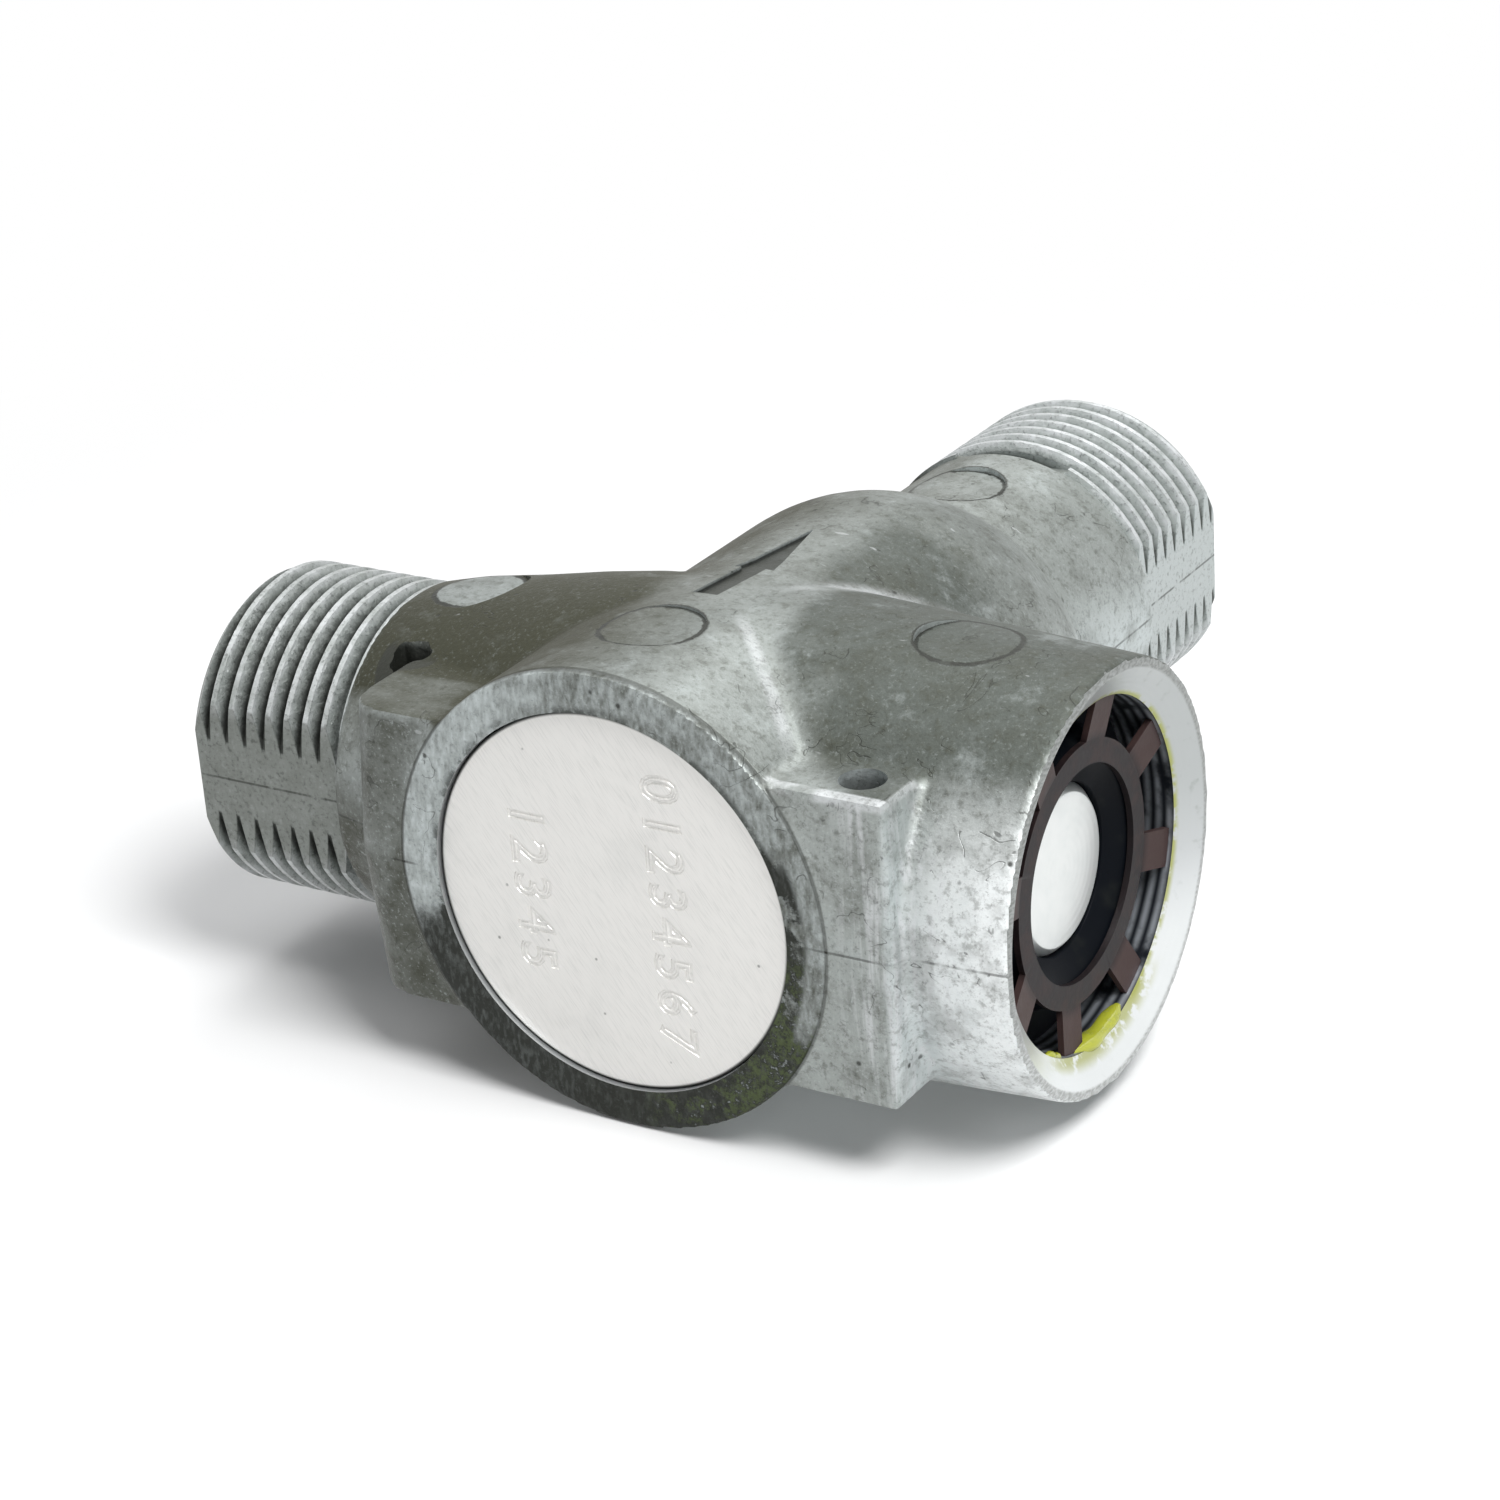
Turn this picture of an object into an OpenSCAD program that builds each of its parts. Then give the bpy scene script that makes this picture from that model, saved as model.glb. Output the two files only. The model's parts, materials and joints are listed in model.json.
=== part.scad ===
// Flow control valve: a die-cast body with a push-to-open inlet valve and a sprung
// outlet check cartridge. The origin is the centre of the inlet port's end face.
// +X runs along the inlet and plunger axis, +Y is the flow direction of the arrow,
// and +Z is up. Most modules are drawn about the valve centre, where the axes cross.

/* [Port thread] */
// Outside diameter of the pipe thread
thread_d = 26.44; // [24:0.02:28]
// Distance between thread crests
thread_pitch = 1.814; // [1.5:0.002:2.2]
// Distance between the two flats that the mould parting leaves on the thread
thread_flats_w = 23.4; // [22.5:0.1:24.4]
// Diameter of the smooth bore through both ports
port_bore_d = 17; // [14:0.1:17.4]
// Diameter of the wider mouth of both ports
port_mouth_d = 18; // [17.6:0.1:19]
// Depth of the wider mouth of both ports
port_mouth_l = 10; // [6:0.5:11]

/* [Body casting] */
// Inlet end face to valve centre
inlet_reach = 43; // [40:0.5:60]
// Outlet end face to valve centre
outlet_reach = 60.6; // [58:0.1:80]
// Cover end rim to valve centre
cover_reach = 17.9; // [17.5:0.1:22]
// Plunger end rim to valve centre
plunger_reach = 31.7; // [31.3:0.1:40]
// Outer diameter of the flow barrel at the cover end
cover_rim_d = 36.6; // [36:0.1:42]
// Outer diameter of the flow barrel where its round end starts
flow_barrel_d = 34.4; // [34:0.1:38]
// Valve centre to the middle of the barrel's round end
dome_y = 21; // [20.5:0.1:25]
// Outer diameter of the outlet neck
outlet_neck_d = 25.8; // [25:0.1:28]
// Outer diameter of the plunger barrel at its rim
plunger_rim_d = 32.8; // [32.4:0.1:38]
// Outer diameter of the plunger barrel at the flow barrel
plunger_root_d = 35.4; // [34:0.1:38]
// Outer diameter of the inlet neck at the thread
inlet_neck_d = 26.8; // [26:0.1:28]
// Outer diameter of the inlet neck at the flow barrel
inlet_root_d = 35.2; // [33:0.1:36]
// Threaded length of each port
thread_length = 14.6; // [12:0.1:16]

/* [Side bosses] */
// Height of each side boss
boss_h = 24; // [20:0.5:28]
// Draft angle of the boss sides
boss_draft = 3.6; // [1:0.1:5]
// Diameter of the seal hole through the boss
seal_hole_d = 3.5; // [2.5:0.1:3.6]
// Valve centre to the seal hole, along the plunger axis
seal_hole_x = 19.8; // [19.5:0.1:20.1]
// Valve centre to the seal hole, across the plunger axis
seal_hole_y = 14.3; // [14.2:0.1:14.6]

/* [Bores] */
// Diameter of the plunger bore at its mouth
mouth_bore_d = 26.8; // [26.4:0.1:27.6]
// Diameter of the inner plunger bore
sleeve_bore_d = 22; // [21:0.1:22.2]
// Diameter of the flow bore across the valve centre
flow_bore_d = 26; // [25:0.1:26.4]
// Diameter of the check valve bore
check_bore_d = 24; // [22.5:0.1:24.6]
// Diameter of the cover pocket
cover_d = 30.2; // [29:0.1:31]
// Thickness of the cover disc
cover_t = 2.2; // [1.5:0.1:2.6]
// How far the cover disc lies below the rim
cover_sink = 0.4; // [0.1:0.1:1]

/* [Plunger and inlet valve] */
// Diameter of the plunger
plunger_d = 13; // [11:0.1:14]
// Travel of the plunger
plunger_travel = 4.5; // [3:0.1:4.8]
// Diameter of the valve stem
stem_d = 5; // [4:0.1:5.6]
// Diameter of the inlet seat's orifice
orifice_d = 10; // [9:0.1:11]
// Diameter of the inlet valve disc
inlet_disc_d = 14; // [13:0.1:14.4]
// Wire diameter of the return spring
return_wire_d = 1; // [0.6:0.05:1.05]
// Number of prongs on the retaining ring
prong_count = 8; // [6:1:10]
// Width of each prong
prong_w = 3; // [2:0.1:3.6]
// Diameter of the hole in the retaining ring
ring_hole_d = 16.5; // [15.5:0.1:17.5]
// Diameter of the retaining ring between its prongs
ring_hub_d = 20.2; // [19:0.1:21.5]

/* [Outlet check valve] */
// Travel of the poppet
poppet_travel = 3.5; // [2:0.1:3.6]
// Diameter of the poppet
poppet_d = 18; // [17:0.1:19]
// Diameter of the hole in the flow seat
flow_seat_hole_d = 13; // [11:0.1:13.6]
// Wire diameter of the poppet spring
poppet_wire_d = 0.8; // [0.5:0.05:0.9]

/* [Clearances] */
// Radial running clearance of sliding pieces
running = 0.06; // [0.03:0.01:0.1]
// Radial clearance of fixed pieces in their bores
fitting = 0.04; // [0.02:0.01:0.06]

/* [Hidden] */
$fn = 96;

// A little extra length, so that cutters run past the faces they cut
past = 1;
// Gap left between soft pieces or springs and what they bear on
light_touch = 0.05;

// Casting
rim_end_y = 6;
taper_end_y = 8;
neck_root_x = 9;
boss_root_x = 9;
boss_side_x = seal_hole_x + 4.5;
boss_side_slant = 0.5;
boss_front_slant = 0.4;
boss_front_y = cover_reach;
boss_back_y = 5;
inlet_boss_side_x = 23.6;
inlet_boss_corner_r = 3;
core_hole_x = 23.5;
core_hole_y = 8.2;
core_hole_d = 3.6;
core_hole_floor_z = 8.6;
arrow_x = -0.8;
arrow_shaft_w = 2.2;
arrow_start_y = -1.2;
arrow_head_y = 5.8;
arrow_head_w = 3.2;
arrow_tip_y = 14.9;
arrow_depth = 0.4;

// Thread
thread_depth = 0.64 * thread_pitch;
thread_crest_w = 0.25 * thread_pitch;
thread_start = 0.5;

// Places along the plunger axis, from the valve centre
seat_lip_x = -20;
seat_lip_h = 0.8;
seat_back_x = -16;
seat_hole_d = 14;
disc_t = 2.2;
seal_stand = 0.6;
seal_recess = 0.9;
sleeve_end_x = 7;
bush_step_x = 23.2;
mouth_bevel_w = 2.2;
mouth_bevel_l = 1.5;
ring_t = 0.5;
prong_turn = 15;
ring_x = plunger_reach - 2.85;
bush_front_x = ring_x - light_touch;
bush_trough_x = bush_front_x - 2.5;
bush_nose_d = 19.6;
guide_back_x = 22.3;
chamber_d = 18.6;
return_coil_d = 15.2;
return_turns = 5.25;
bush_lip_d = 17;
bush_lip_l = 1.2;
flange_t = 1.5;
flange_d = chamber_d - 0.6;
plunger_face_x = ring_x - 1.12;
plunger_bevel = 0.67;
flange_x = guide_back_x - flange_t;
circlip_x = sleeve_end_x + 0.8;
circlip_t = 1;
washer_x = circlip_x + circlip_t + light_touch;
washer_t = 1;
vent_r = 5;
vent_d = 2.4;
bush_groove_x = 23.8;
oring_groove_w = 1.8;
bush_groove_d = mouth_bore_d - 3;
seal_groove_x = 24.2;
seal_groove_w = 2;
seal_groove_d = plunger_d + 3.2;

// Stem and nut
stem_socket = 4;
stem_tip_d = stem_d - 1;
stem_bevel = 0.3;
nut_af = 7;
nut_t = 3.2;
disc_front_x = seat_lip_x - seal_stand;
disc_back_x = disc_front_x - disc_t;
stem_tip_x = disc_back_x - nut_t - 0.8;

// Places along the flow axis, from the valve centre
pocket_y = -cover_reach + cover_sink + cover_t;
spigot_end_y = -11.6;
spigot_groove_y = pocket_y + 0.6;
spigot_hollow = 2.2;
spigot_groove_d = flow_bore_d - 3.2;
clip_y = 11.6;
clip_t = 1;
clip_groove_d = flow_bore_d + 1.6;
flow_seat_y = clip_y + clip_t + light_touch;
flow_seat_end_y = 16.3;
flow_groove_y = flow_seat_y + 0.9;
flow_groove_d = flow_bore_d - 3.2;
check_end_y = 27;
guide_t = 2;
guide_hub_d = 9;
guide_rim_w = 2.2;
guide_arm_w = 2.2;
guide_arms = 4;
poppet_t = 2.4;
poppet_hub_d = 6.4;
poppet_turns = 4;
poppet_coil_d = poppet_hub_d + 2;
poppet_coil_end_d = check_bore_d - 4.5;
poppet_stem_end_y = 29.5;

// Moves drawings from the valve centre to the inlet port's end face
module at_centre() {
    translate([inlet_reach, 0, 0]) children();
}

// A round solid along +X from x, with diameter d and length l; d2 tapers it
module rod_x(x, d, l, d2 = -1) {
    translate([x, 0, 0]) rotate([0, 90, 0]) cylinder(h = l, d1 = d, d2 = d2 < 0 ? d : d2);
}

// A round solid along +Y from y, with diameter d and length l; d2 tapers it
module rod_y(y, d, l, d2 = -1) {
    translate([0, y, 0]) rotate([-90, 0, 0]) cylinder(h = l, d1 = d, d2 = d2 < 0 ? d : d2);
}

// A flat ring along +X
module ring_x_axis(x, d_out, d_in, t) {
    difference() {
        rod_x(x, d_out, t);
        rod_x(x - past, d_in, t + 2 * past);
    }
}

// A flat ring along +Y
module ring_y_axis(y, d_out, d_in, t) {
    difference() {
        rod_y(y, d_out, t);
        rod_y(y - past, d_in, t + 2 * past);
    }
}

// An O-ring between two diameters, about +Z, with its middle at z = 0
module oring(d_out, d_in) {
    wire_r = (d_out - d_in) / 4;
    rotate_extrude() translate([(d_out + d_in) / 4, 0]) circle(r = wire_r, $fn = 32);
}

// How far a spring has risen after t turns: its end turns lie closed
function spring_rise(t, turns, rise, wire) =
    let (closed = 0.75, dead = closed * wire * 1.04, open = rise - 2 * dead)
    t < closed ? t / closed * dead
    : t > turns - closed ? rise - (turns - t) / closed * dead
    : dead + (t - closed) / (turns - 2 * closed) * open;

// A coil spring along +Z from z = 0; its coil diameter may grow from d1 to d2
module coil_spring(d1, d2, wire, length, turns) {
    sides = 8;
    steps = 24;
    count = round(turns * steps);
    rise = length - wire;
    points = [
        for (i = [0 : count])
            let (t = i / steps, a = 360 * t, r = (d1 + (d2 - d1) * i / count) / 2)
            let (z = wire / 2 + spring_rise(t, turns, rise, wire))
            for (k = [0 : sides - 1])
                let (b = 360 * k / sides, q = r + wire / 2 * cos(b))
                [q * cos(a), q * sin(a), z + wire / 2 * sin(b)]
    ];
    skin = [
        for (i = [0 : count - 1])
            for (k = [0 : sides - 1])
                let (n = (k + 1) % sides, p = i * sides, q = p + sides)
                each [[p + k, p + n, q + n], [p + k, q + n, q + k]]
    ];
    start_cap = [[for (k = [sides - 1 : -1 : 0]) k]];
    end_cap = [[for (k = [0 : sides - 1]) count * sides + k]];
    polyhedron(points, concat(skin, start_cap, end_cap), convexity = 10);
}

// A threaded length of pipe about +Z, from its end face at z = 0 downwards
module thread() {
    crest_r = thread_d / 2;
    root_r = crest_r - thread_depth;
    count = floor((thread_length - thread_start) / thread_pitch);
    flank = (thread_pitch - 2 * thread_crest_w) / 2;
    outline = [
        for (i = [0 : count - 1])
            let (z = -thread_start - i * thread_pitch)
            each [
                [root_r, z],
                [crest_r, z - flank],
                [crest_r, z - flank - thread_crest_w],
                [root_r, z - 2 * flank - thread_crest_w]
            ]
    ];
    end = [[root_r, -thread_length], [0, -thread_length], [0, 0], [root_r, 0]];
    intersection() {
        rotate_extrude() polygon(concat(outline, end));
        cube([2 * thread_d, thread_flats_w, 3 * thread_length], center = true);
    }
}

// Outline of the side boss on the plunger side, seen from above
module boss_outline() {
    polygon([
        [boss_root_x, -boss_front_y],
        [boss_side_x - boss_side_slant, -boss_front_y - boss_front_slant],
        [boss_side_x, -boss_back_y],
        [boss_root_x, -boss_back_y]
    ]);
}

// Outline of the side boss on the inlet side, with its rounded corner
module inlet_boss_outline() {
    corner_x = -inlet_boss_side_x + inlet_boss_corner_r;
    corner_y = -boss_front_y + inlet_boss_corner_r;
    polygon([
        [-boss_root_x, -boss_front_y],
        [corner_x, -boss_front_y],
        [corner_x, corner_y],
        [-inlet_boss_side_x, corner_y],
        [-inlet_boss_side_x, -boss_back_y],
        [-boss_root_x, -boss_back_y]
    ]);
    translate([corner_x, corner_y]) circle(r = inlet_boss_corner_r);
}

// A boss drawn as its outline, with its outer side drafted above and below the parting plane
module drafted_boss(side_x) {
    outward = sign(side_x);
    for (half = [0, 1])
        mirror([0, 0, half])
            difference() {
                linear_extrude(height = boss_h / 2) children();
                translate([side_x, 0, 0])
                    rotate([0, -outward * boss_draft, 0])
                        translate([outward > 0 ? 0 : -boss_h, -2 * boss_h, -past])
                            cube([boss_h, 2 * boss_h, boss_h]);
            }
}

// The flow barrel as far as its round end; inset makes it that much smaller all round
module flow_barrel(inset = 0) {
    rim_d = cover_rim_d - 2 * inset;
    end_d = flow_barrel_d - 2 * inset;
    rod_y(-cover_reach, rim_d, cover_reach - rim_end_y);
    rod_y(-rim_end_y, rim_d, rim_end_y + taper_end_y, end_d);
    rod_y(taper_end_y, end_d, dome_y - taper_end_y);
}

// The plunger barrel, tapered towards its rim
module plunger_barrel() {
    rod_x(0, plunger_root_d, taper_end_y);
    rod_x(taper_end_y, plunger_root_d, plunger_reach - taper_end_y, plunger_rim_d);
}

// The inlet neck, widening from the thread towards the flow barrel
module inlet_neck() {
    start_x = thread_length - inlet_reach;
    rod_x(start_x, inlet_neck_d, -neck_root_x - start_x, inlet_root_d);
    rod_x(-neck_root_x, inlet_root_d, neck_root_x);
}

// Outer shape of the casting
module body_outside() {
    flow_barrel();
    translate([0, dome_y, 0]) rotate([-90, 0, 0]) sphere(d = flow_barrel_d);
    rod_y(dome_y, outlet_neck_d, outlet_reach - thread_length - dome_y);
    plunger_barrel();
    inlet_neck();
    drafted_boss(boss_side_x) boss_outline();
    drafted_boss(-inlet_boss_side_x) inlet_boss_outline();
    translate([-inlet_reach, 0, 0]) rotate([0, -90, 0]) thread();
    translate([0, outlet_reach, 0]) rotate([-90, 0, 0]) rotate([0, 0, 90]) thread();
}

// Bores along the inlet and plunger axis
module plunger_axis_bores() {
    rod_x(-inlet_reach - past, port_mouth_d, port_mouth_l + past);
    rod_x(-inlet_reach, port_bore_d, inlet_reach + seat_back_x);
    rod_x(seat_back_x - past, seat_hole_d, past - seat_back_x);
    rod_x(0, sleeve_bore_d, bush_step_x);
    rod_x(bush_step_x, mouth_bore_d, plunger_reach);
    rod_x(plunger_reach - mouth_bevel_l, mouth_bore_d, mouth_bevel_l, mouth_bore_d + 2 * mouth_bevel_w);
}

// Bores along the flow axis
module flow_axis_bores() {
    rod_y(-cover_reach - past, cover_d, pocket_y + cover_reach + past);
    rod_y(pocket_y - past, flow_bore_d, flow_seat_end_y - pocket_y + past);
    rod_y(clip_y, clip_groove_d, clip_t + light_touch);
    rod_y(0, check_bore_d, check_end_y);
    rod_y(0, port_bore_d, outlet_reach);
    rod_y(outlet_reach - port_mouth_l, port_mouth_d, port_mouth_l + past);
}

// Flow arrow cut a little into the top of the barrel
module arrow_mark() {
    difference() {
        linear_extrude(height = cover_rim_d) {
            translate([arrow_x - arrow_shaft_w / 2, arrow_start_y])
                square([arrow_shaft_w, arrow_head_y - arrow_start_y]);
            polygon([
                [arrow_x - arrow_head_w / 2, arrow_head_y],
                [arrow_x + arrow_head_w / 2, arrow_head_y],
                [arrow_x, arrow_tip_y]
            ]);
        }
        flow_barrel(arrow_depth);
    }
}

// Blind core hole in the top of the inlet neck
module core_hole() {
    translate([-core_hole_x, -core_hole_y, core_hole_floor_z]) cylinder(h = boss_h, d = core_hole_d);
}

module valve_body() {
    color("silver") at_centre() difference() {
        body_outside();
        plunger_axis_bores();
        flow_axis_bores();
        arrow_mark();
        core_hole();
        translate([seal_hole_x, -seal_hole_y, -boss_h]) cylinder(h = 2 * boss_h, d = seal_hole_d);
    }
}

module cover_disc() {
    color("gainsboro") at_centre() difference() {
        union() {
            rod_y(pocket_y - cover_t, cover_d - 2 * fitting, cover_t);
            rod_y(pocket_y, flow_bore_d - 2 * fitting, spigot_end_y - pocket_y);
        }
        ring_y_axis(spigot_groove_y, flow_bore_d + past, spigot_groove_d, oring_groove_w);
        rod_y(spigot_end_y - spigot_hollow, spigot_groove_d - 4, spigot_hollow + past);
    }
}

module cover_oring() {
    color("dimgray") at_centre()
        translate([0, spigot_groove_y + oring_groove_w / 2, 0])
            rotate([-90, 0, 0])
                oring(flow_bore_d - 0.02, spigot_groove_d + 0.02);
}

module inlet_seat() {
    color("goldenrod") at_centre() difference() {
        union() {
            rod_x(seat_lip_x + seat_lip_h, port_bore_d - 2 * fitting, seat_back_x - seat_lip_x - seat_lip_h);
            rod_x(seat_lip_x, orifice_d + 1.2, seat_lip_h, orifice_d + 2.4);
        }
        rod_x(seat_lip_x - past, orifice_d, seat_back_x - seat_lip_x + 2 * past);
    }
}

module inlet_valve_disc() {
    color("goldenrod") at_centre() difference() {
        rod_x(disc_back_x, inlet_disc_d, disc_t);
        rod_x(disc_back_x - past, stem_tip_d, disc_t + 2 * past);
        ring_x_axis(disc_front_x - seal_recess, inlet_disc_d - 1.4, orifice_d - 1.6, past);
    }
}

module inlet_valve_seal() {
    color("dimgray") at_centre()
        ring_x_axis(
            disc_front_x - seal_recess,
            inlet_disc_d - 1.5,
            orifice_d - 1.5,
            seal_recess + seal_stand - light_touch
        );
}

module stem_nut() {
    color("goldenrod") at_centre() difference() {
        translate([disc_back_x - nut_t, 0, 0])
            rotate([0, 90, 0])
                cylinder(h = nut_t, d = nut_af / cos(30), $fn = 6);
        rod_x(disc_back_x - nut_t - past, stem_tip_d, nut_t + 2 * past);
    }
}

module valve_stem() {
    color("lightgray") at_centre() {
        rod_x(stem_tip_x, stem_tip_d - 2 * stem_bevel, stem_bevel, stem_tip_d);
        rod_x(stem_tip_x + stem_bevel, stem_tip_d, disc_front_x - stem_tip_x - stem_bevel);
        rod_x(disc_front_x, stem_d, flange_x + stem_socket - disc_front_x);
    }
}

module plunger() {
    color("whitesmoke") at_centre() difference() {
        union() {
            rod_x(flange_x, flange_d, flange_t - light_touch);
            rod_x(flange_x, plunger_d, plunger_face_x - plunger_bevel - flange_x);
            rod_x(plunger_face_x - plunger_bevel, plunger_d, plunger_bevel, plunger_d - 2 * plunger_bevel);
        }
        rod_x(flange_x - past, stem_d, stem_socket + past);
    }
}

module plunger_seal() {
    color("black") at_centre()
        translate([seal_groove_x + seal_groove_w / 2, 0, 0])
            rotate([0, 90, 0])
                oring(seal_groove_d - 0.04, plunger_d + 2 * running);
}

module guide_bush() {
    color("black") at_centre() difference() {
        union() {
            rod_x(sleeve_end_x, sleeve_bore_d - 2 * fitting, bush_step_x - sleeve_end_x);
            rod_x(bush_step_x, mouth_bore_d - 2 * fitting, bush_trough_x - bush_step_x);
            rod_x(bush_trough_x, bush_nose_d + 2, bush_front_x - bush_trough_x, bush_nose_d);
        }
        rod_x(sleeve_end_x - past, chamber_d, guide_back_x - sleeve_end_x + past);
        rod_x(guide_back_x - past, plunger_d + 2 * running, bush_front_x - guide_back_x + 2 * past);
        rod_x(bush_front_x - bush_lip_l, plunger_d + 2 * running, bush_lip_l, bush_lip_d);
        rod_x(bush_front_x, bush_lip_d, past);
        rod_x(seal_groove_x, seal_groove_d, seal_groove_w);
        rod_x(circlip_x, chamber_d + 1.4, circlip_t + light_touch);
        ring_x_axis(bush_groove_x, mouth_bore_d + past, bush_groove_d, oring_groove_w);
    }
}

module guide_bush_oring() {
    color("dimgray") at_centre()
        translate([bush_groove_x + oring_groove_w / 2, 0, 0])
            rotate([0, 90, 0])
                oring(mouth_bore_d - 0.02, bush_groove_d + 0.02);
}

module return_spring() {
    start_x = washer_x + washer_t + light_touch;
    spring_l = flange_x - light_touch - start_x;
    color("lightsteelblue") at_centre()
        translate([start_x, 0, 0])
            rotate([0, 90, 0])
                coil_spring(return_coil_d, return_coil_d, return_wire_d, spring_l, return_turns);
}

module spring_washer() {
    color("lightgray") at_centre() difference() {
        rod_x(washer_x, chamber_d - 2 * fitting, washer_t);
        rod_x(washer_x - past, stem_d + 2 * running, washer_t + 2 * past);
        for (a = [45 : 90 : 315])
            rotate([a, 0, 0]) translate([0, 0, vent_r]) rod_x(washer_x - past, vent_d, washer_t + 2 * past);
    }
}

// An open circlip about +Z with its gap towards +X
module circlip(d_out, d_in, t, gap) {
    difference() {
        cylinder(h = t, d = d_out);
        translate([0, 0, -past]) cylinder(h = t + 2 * past, d = d_in);
        translate([0, -gap / 2, -past]) cube([d_out, gap, t + 2 * past]);
    }
}

module bush_circlip() {
    color("gray") at_centre()
        translate([circlip_x, 0, 0])
            rotate([0, 90, 0])
                circlip(chamber_d + 1.3, chamber_d - 2.6, circlip_t, 5);
}

module retaining_ring() {
    color("saddlebrown") at_centre()
        translate([ring_x, 0, 0])
            rotate([0, 90, 0])
                linear_extrude(height = ring_t)
                    difference() {
                        union() {
                            circle(d = ring_hub_d);
                            intersection() {
                                circle(d = mouth_bore_d - 2 * fitting);
                                for (i = [0 : prong_count - 1])
                                    rotate(180 - prong_turn - 360 / prong_count * i)
                                        translate([0, -prong_w / 2])
                                            square([mouth_bore_d, prong_w]);
                            }
                        }
                        circle(d = ring_hole_d);
                    }
}

module cartridge_circlip() {
    color("gray") at_centre()
        translate([0, clip_y, 0])
            rotate([-90, 0, 0])
                circlip(clip_groove_d - 0.2, flow_bore_d - 3, clip_t, 6);
}

module flow_seat_ring() {
    color("goldenrod") at_centre() difference() {
        rod_y(flow_seat_y, flow_bore_d - 2 * fitting, flow_seat_end_y - flow_seat_y);
        rod_y(flow_seat_y - past, flow_seat_hole_d, flow_seat_end_y - flow_seat_y + 2 * past);
        ring_y_axis(flow_groove_y, flow_bore_d + past, flow_groove_d, oring_groove_w);
    }
}

module flow_seat_oring() {
    color("dimgray") at_centre()
        translate([0, flow_groove_y + oring_groove_w / 2, 0])
            rotate([-90, 0, 0])
                oring(flow_bore_d - 0.02, flow_groove_d + 0.02);
}

module flow_poppet() {
    face_y = flow_seat_end_y + seal_stand;
    back_y = face_y + poppet_t;
    color("ivory") at_centre() difference() {
        union() {
            rod_y(face_y, poppet_d, back_y - face_y);
            rod_y(face_y - poppet_t, stem_d, poppet_t, flow_seat_hole_d - 2);
            rod_y(back_y, poppet_hub_d, 1);
            rod_y(back_y, stem_d, poppet_stem_end_y - back_y);
        }
        ring_y_axis(face_y - past, poppet_d - 1.4, flow_seat_hole_d - 1.2, seal_recess + past);
    }
}

module poppet_seal() {
    start_y = flow_seat_end_y + light_touch;
    color("dimgray") at_centre()
        ring_y_axis(
            start_y,
            poppet_d - 1.5,
            flow_seat_hole_d - 1.1,
            flow_seat_end_y + seal_stand + seal_recess - start_y
        );
}

module poppet_spring() {
    start_y = flow_seat_end_y + seal_stand + poppet_t + light_touch;
    end_y = check_end_y - guide_t - light_touch;
    color("lightsteelblue") at_centre()
        translate([0, start_y, 0])
            rotate([-90, 0, 0])
                coil_spring(poppet_coil_d, poppet_coil_end_d, poppet_wire_d, end_y - start_y, poppet_turns);
}

module poppet_guide() {
    start_y = check_end_y - guide_t;
    rim_d = check_bore_d - 2 * fitting;
    color("whitesmoke") at_centre() difference() {
        union() {
            ring_y_axis(start_y, rim_d, rim_d - 2 * guide_rim_w, guide_t);
            rod_y(start_y, guide_hub_d, guide_t);
            for (i = [0 : guide_arms - 1])
                rotate([0, 360 / guide_arms * i, 0])
                    translate([0, start_y, -guide_arm_w / 2])
                        cube([rim_d / 2 - guide_rim_w / 2, guide_t, guide_arm_w]);
        }
        rod_y(start_y - past, stem_d + 2 * running, guide_t + 2 * past);
    }
}

valve_body();
cover_disc();
cover_oring();
inlet_seat();
inlet_valve_disc();
inlet_valve_seal();
stem_nut();
valve_stem();
plunger();
plunger_seal();
guide_bush();
guide_bush_oring();
return_spring();
spring_washer();
bush_circlip();
retaining_ring();
cartridge_circlip();
flow_seat_ring();
flow_seat_oring();
flow_poppet();
poppet_seal();
poppet_spring();
poppet_guide();
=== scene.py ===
"""Looks of a die-cast flow control valve, laid out as a Blender add-on and run as a script."""

import json
import math

import bmesh
import bpy
from bpy.props import FloatProperty, FloatVectorProperty, IntProperty, PointerProperty, StringProperty
from mathutils import Euler, Matrix, Vector


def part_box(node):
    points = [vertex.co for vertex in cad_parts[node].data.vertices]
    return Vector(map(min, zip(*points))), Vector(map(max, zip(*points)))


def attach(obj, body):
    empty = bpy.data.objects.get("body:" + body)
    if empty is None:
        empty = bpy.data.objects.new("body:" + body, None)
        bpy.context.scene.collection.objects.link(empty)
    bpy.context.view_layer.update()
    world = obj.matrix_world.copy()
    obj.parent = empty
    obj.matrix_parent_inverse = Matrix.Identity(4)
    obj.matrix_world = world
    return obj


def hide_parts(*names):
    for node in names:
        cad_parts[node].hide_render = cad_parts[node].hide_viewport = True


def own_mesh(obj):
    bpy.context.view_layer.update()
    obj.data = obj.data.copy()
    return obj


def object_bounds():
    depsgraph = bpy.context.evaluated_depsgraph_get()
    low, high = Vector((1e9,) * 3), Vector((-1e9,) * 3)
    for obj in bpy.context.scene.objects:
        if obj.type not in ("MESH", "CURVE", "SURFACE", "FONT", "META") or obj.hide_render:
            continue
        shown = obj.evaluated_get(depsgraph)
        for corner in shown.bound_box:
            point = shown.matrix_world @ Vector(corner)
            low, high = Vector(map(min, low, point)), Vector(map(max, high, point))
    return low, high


bl_info = {
    "name": "Flow control valve",
    "version": (1, 0, 0),
    "blender": (4, 5, 0),
    "location": "View3D > Sidebar > Valve",
    "description": "Models the casting, rings, disc, plunger and inner pieces of a flow control valve",
    "category": "Object",
}

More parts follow.
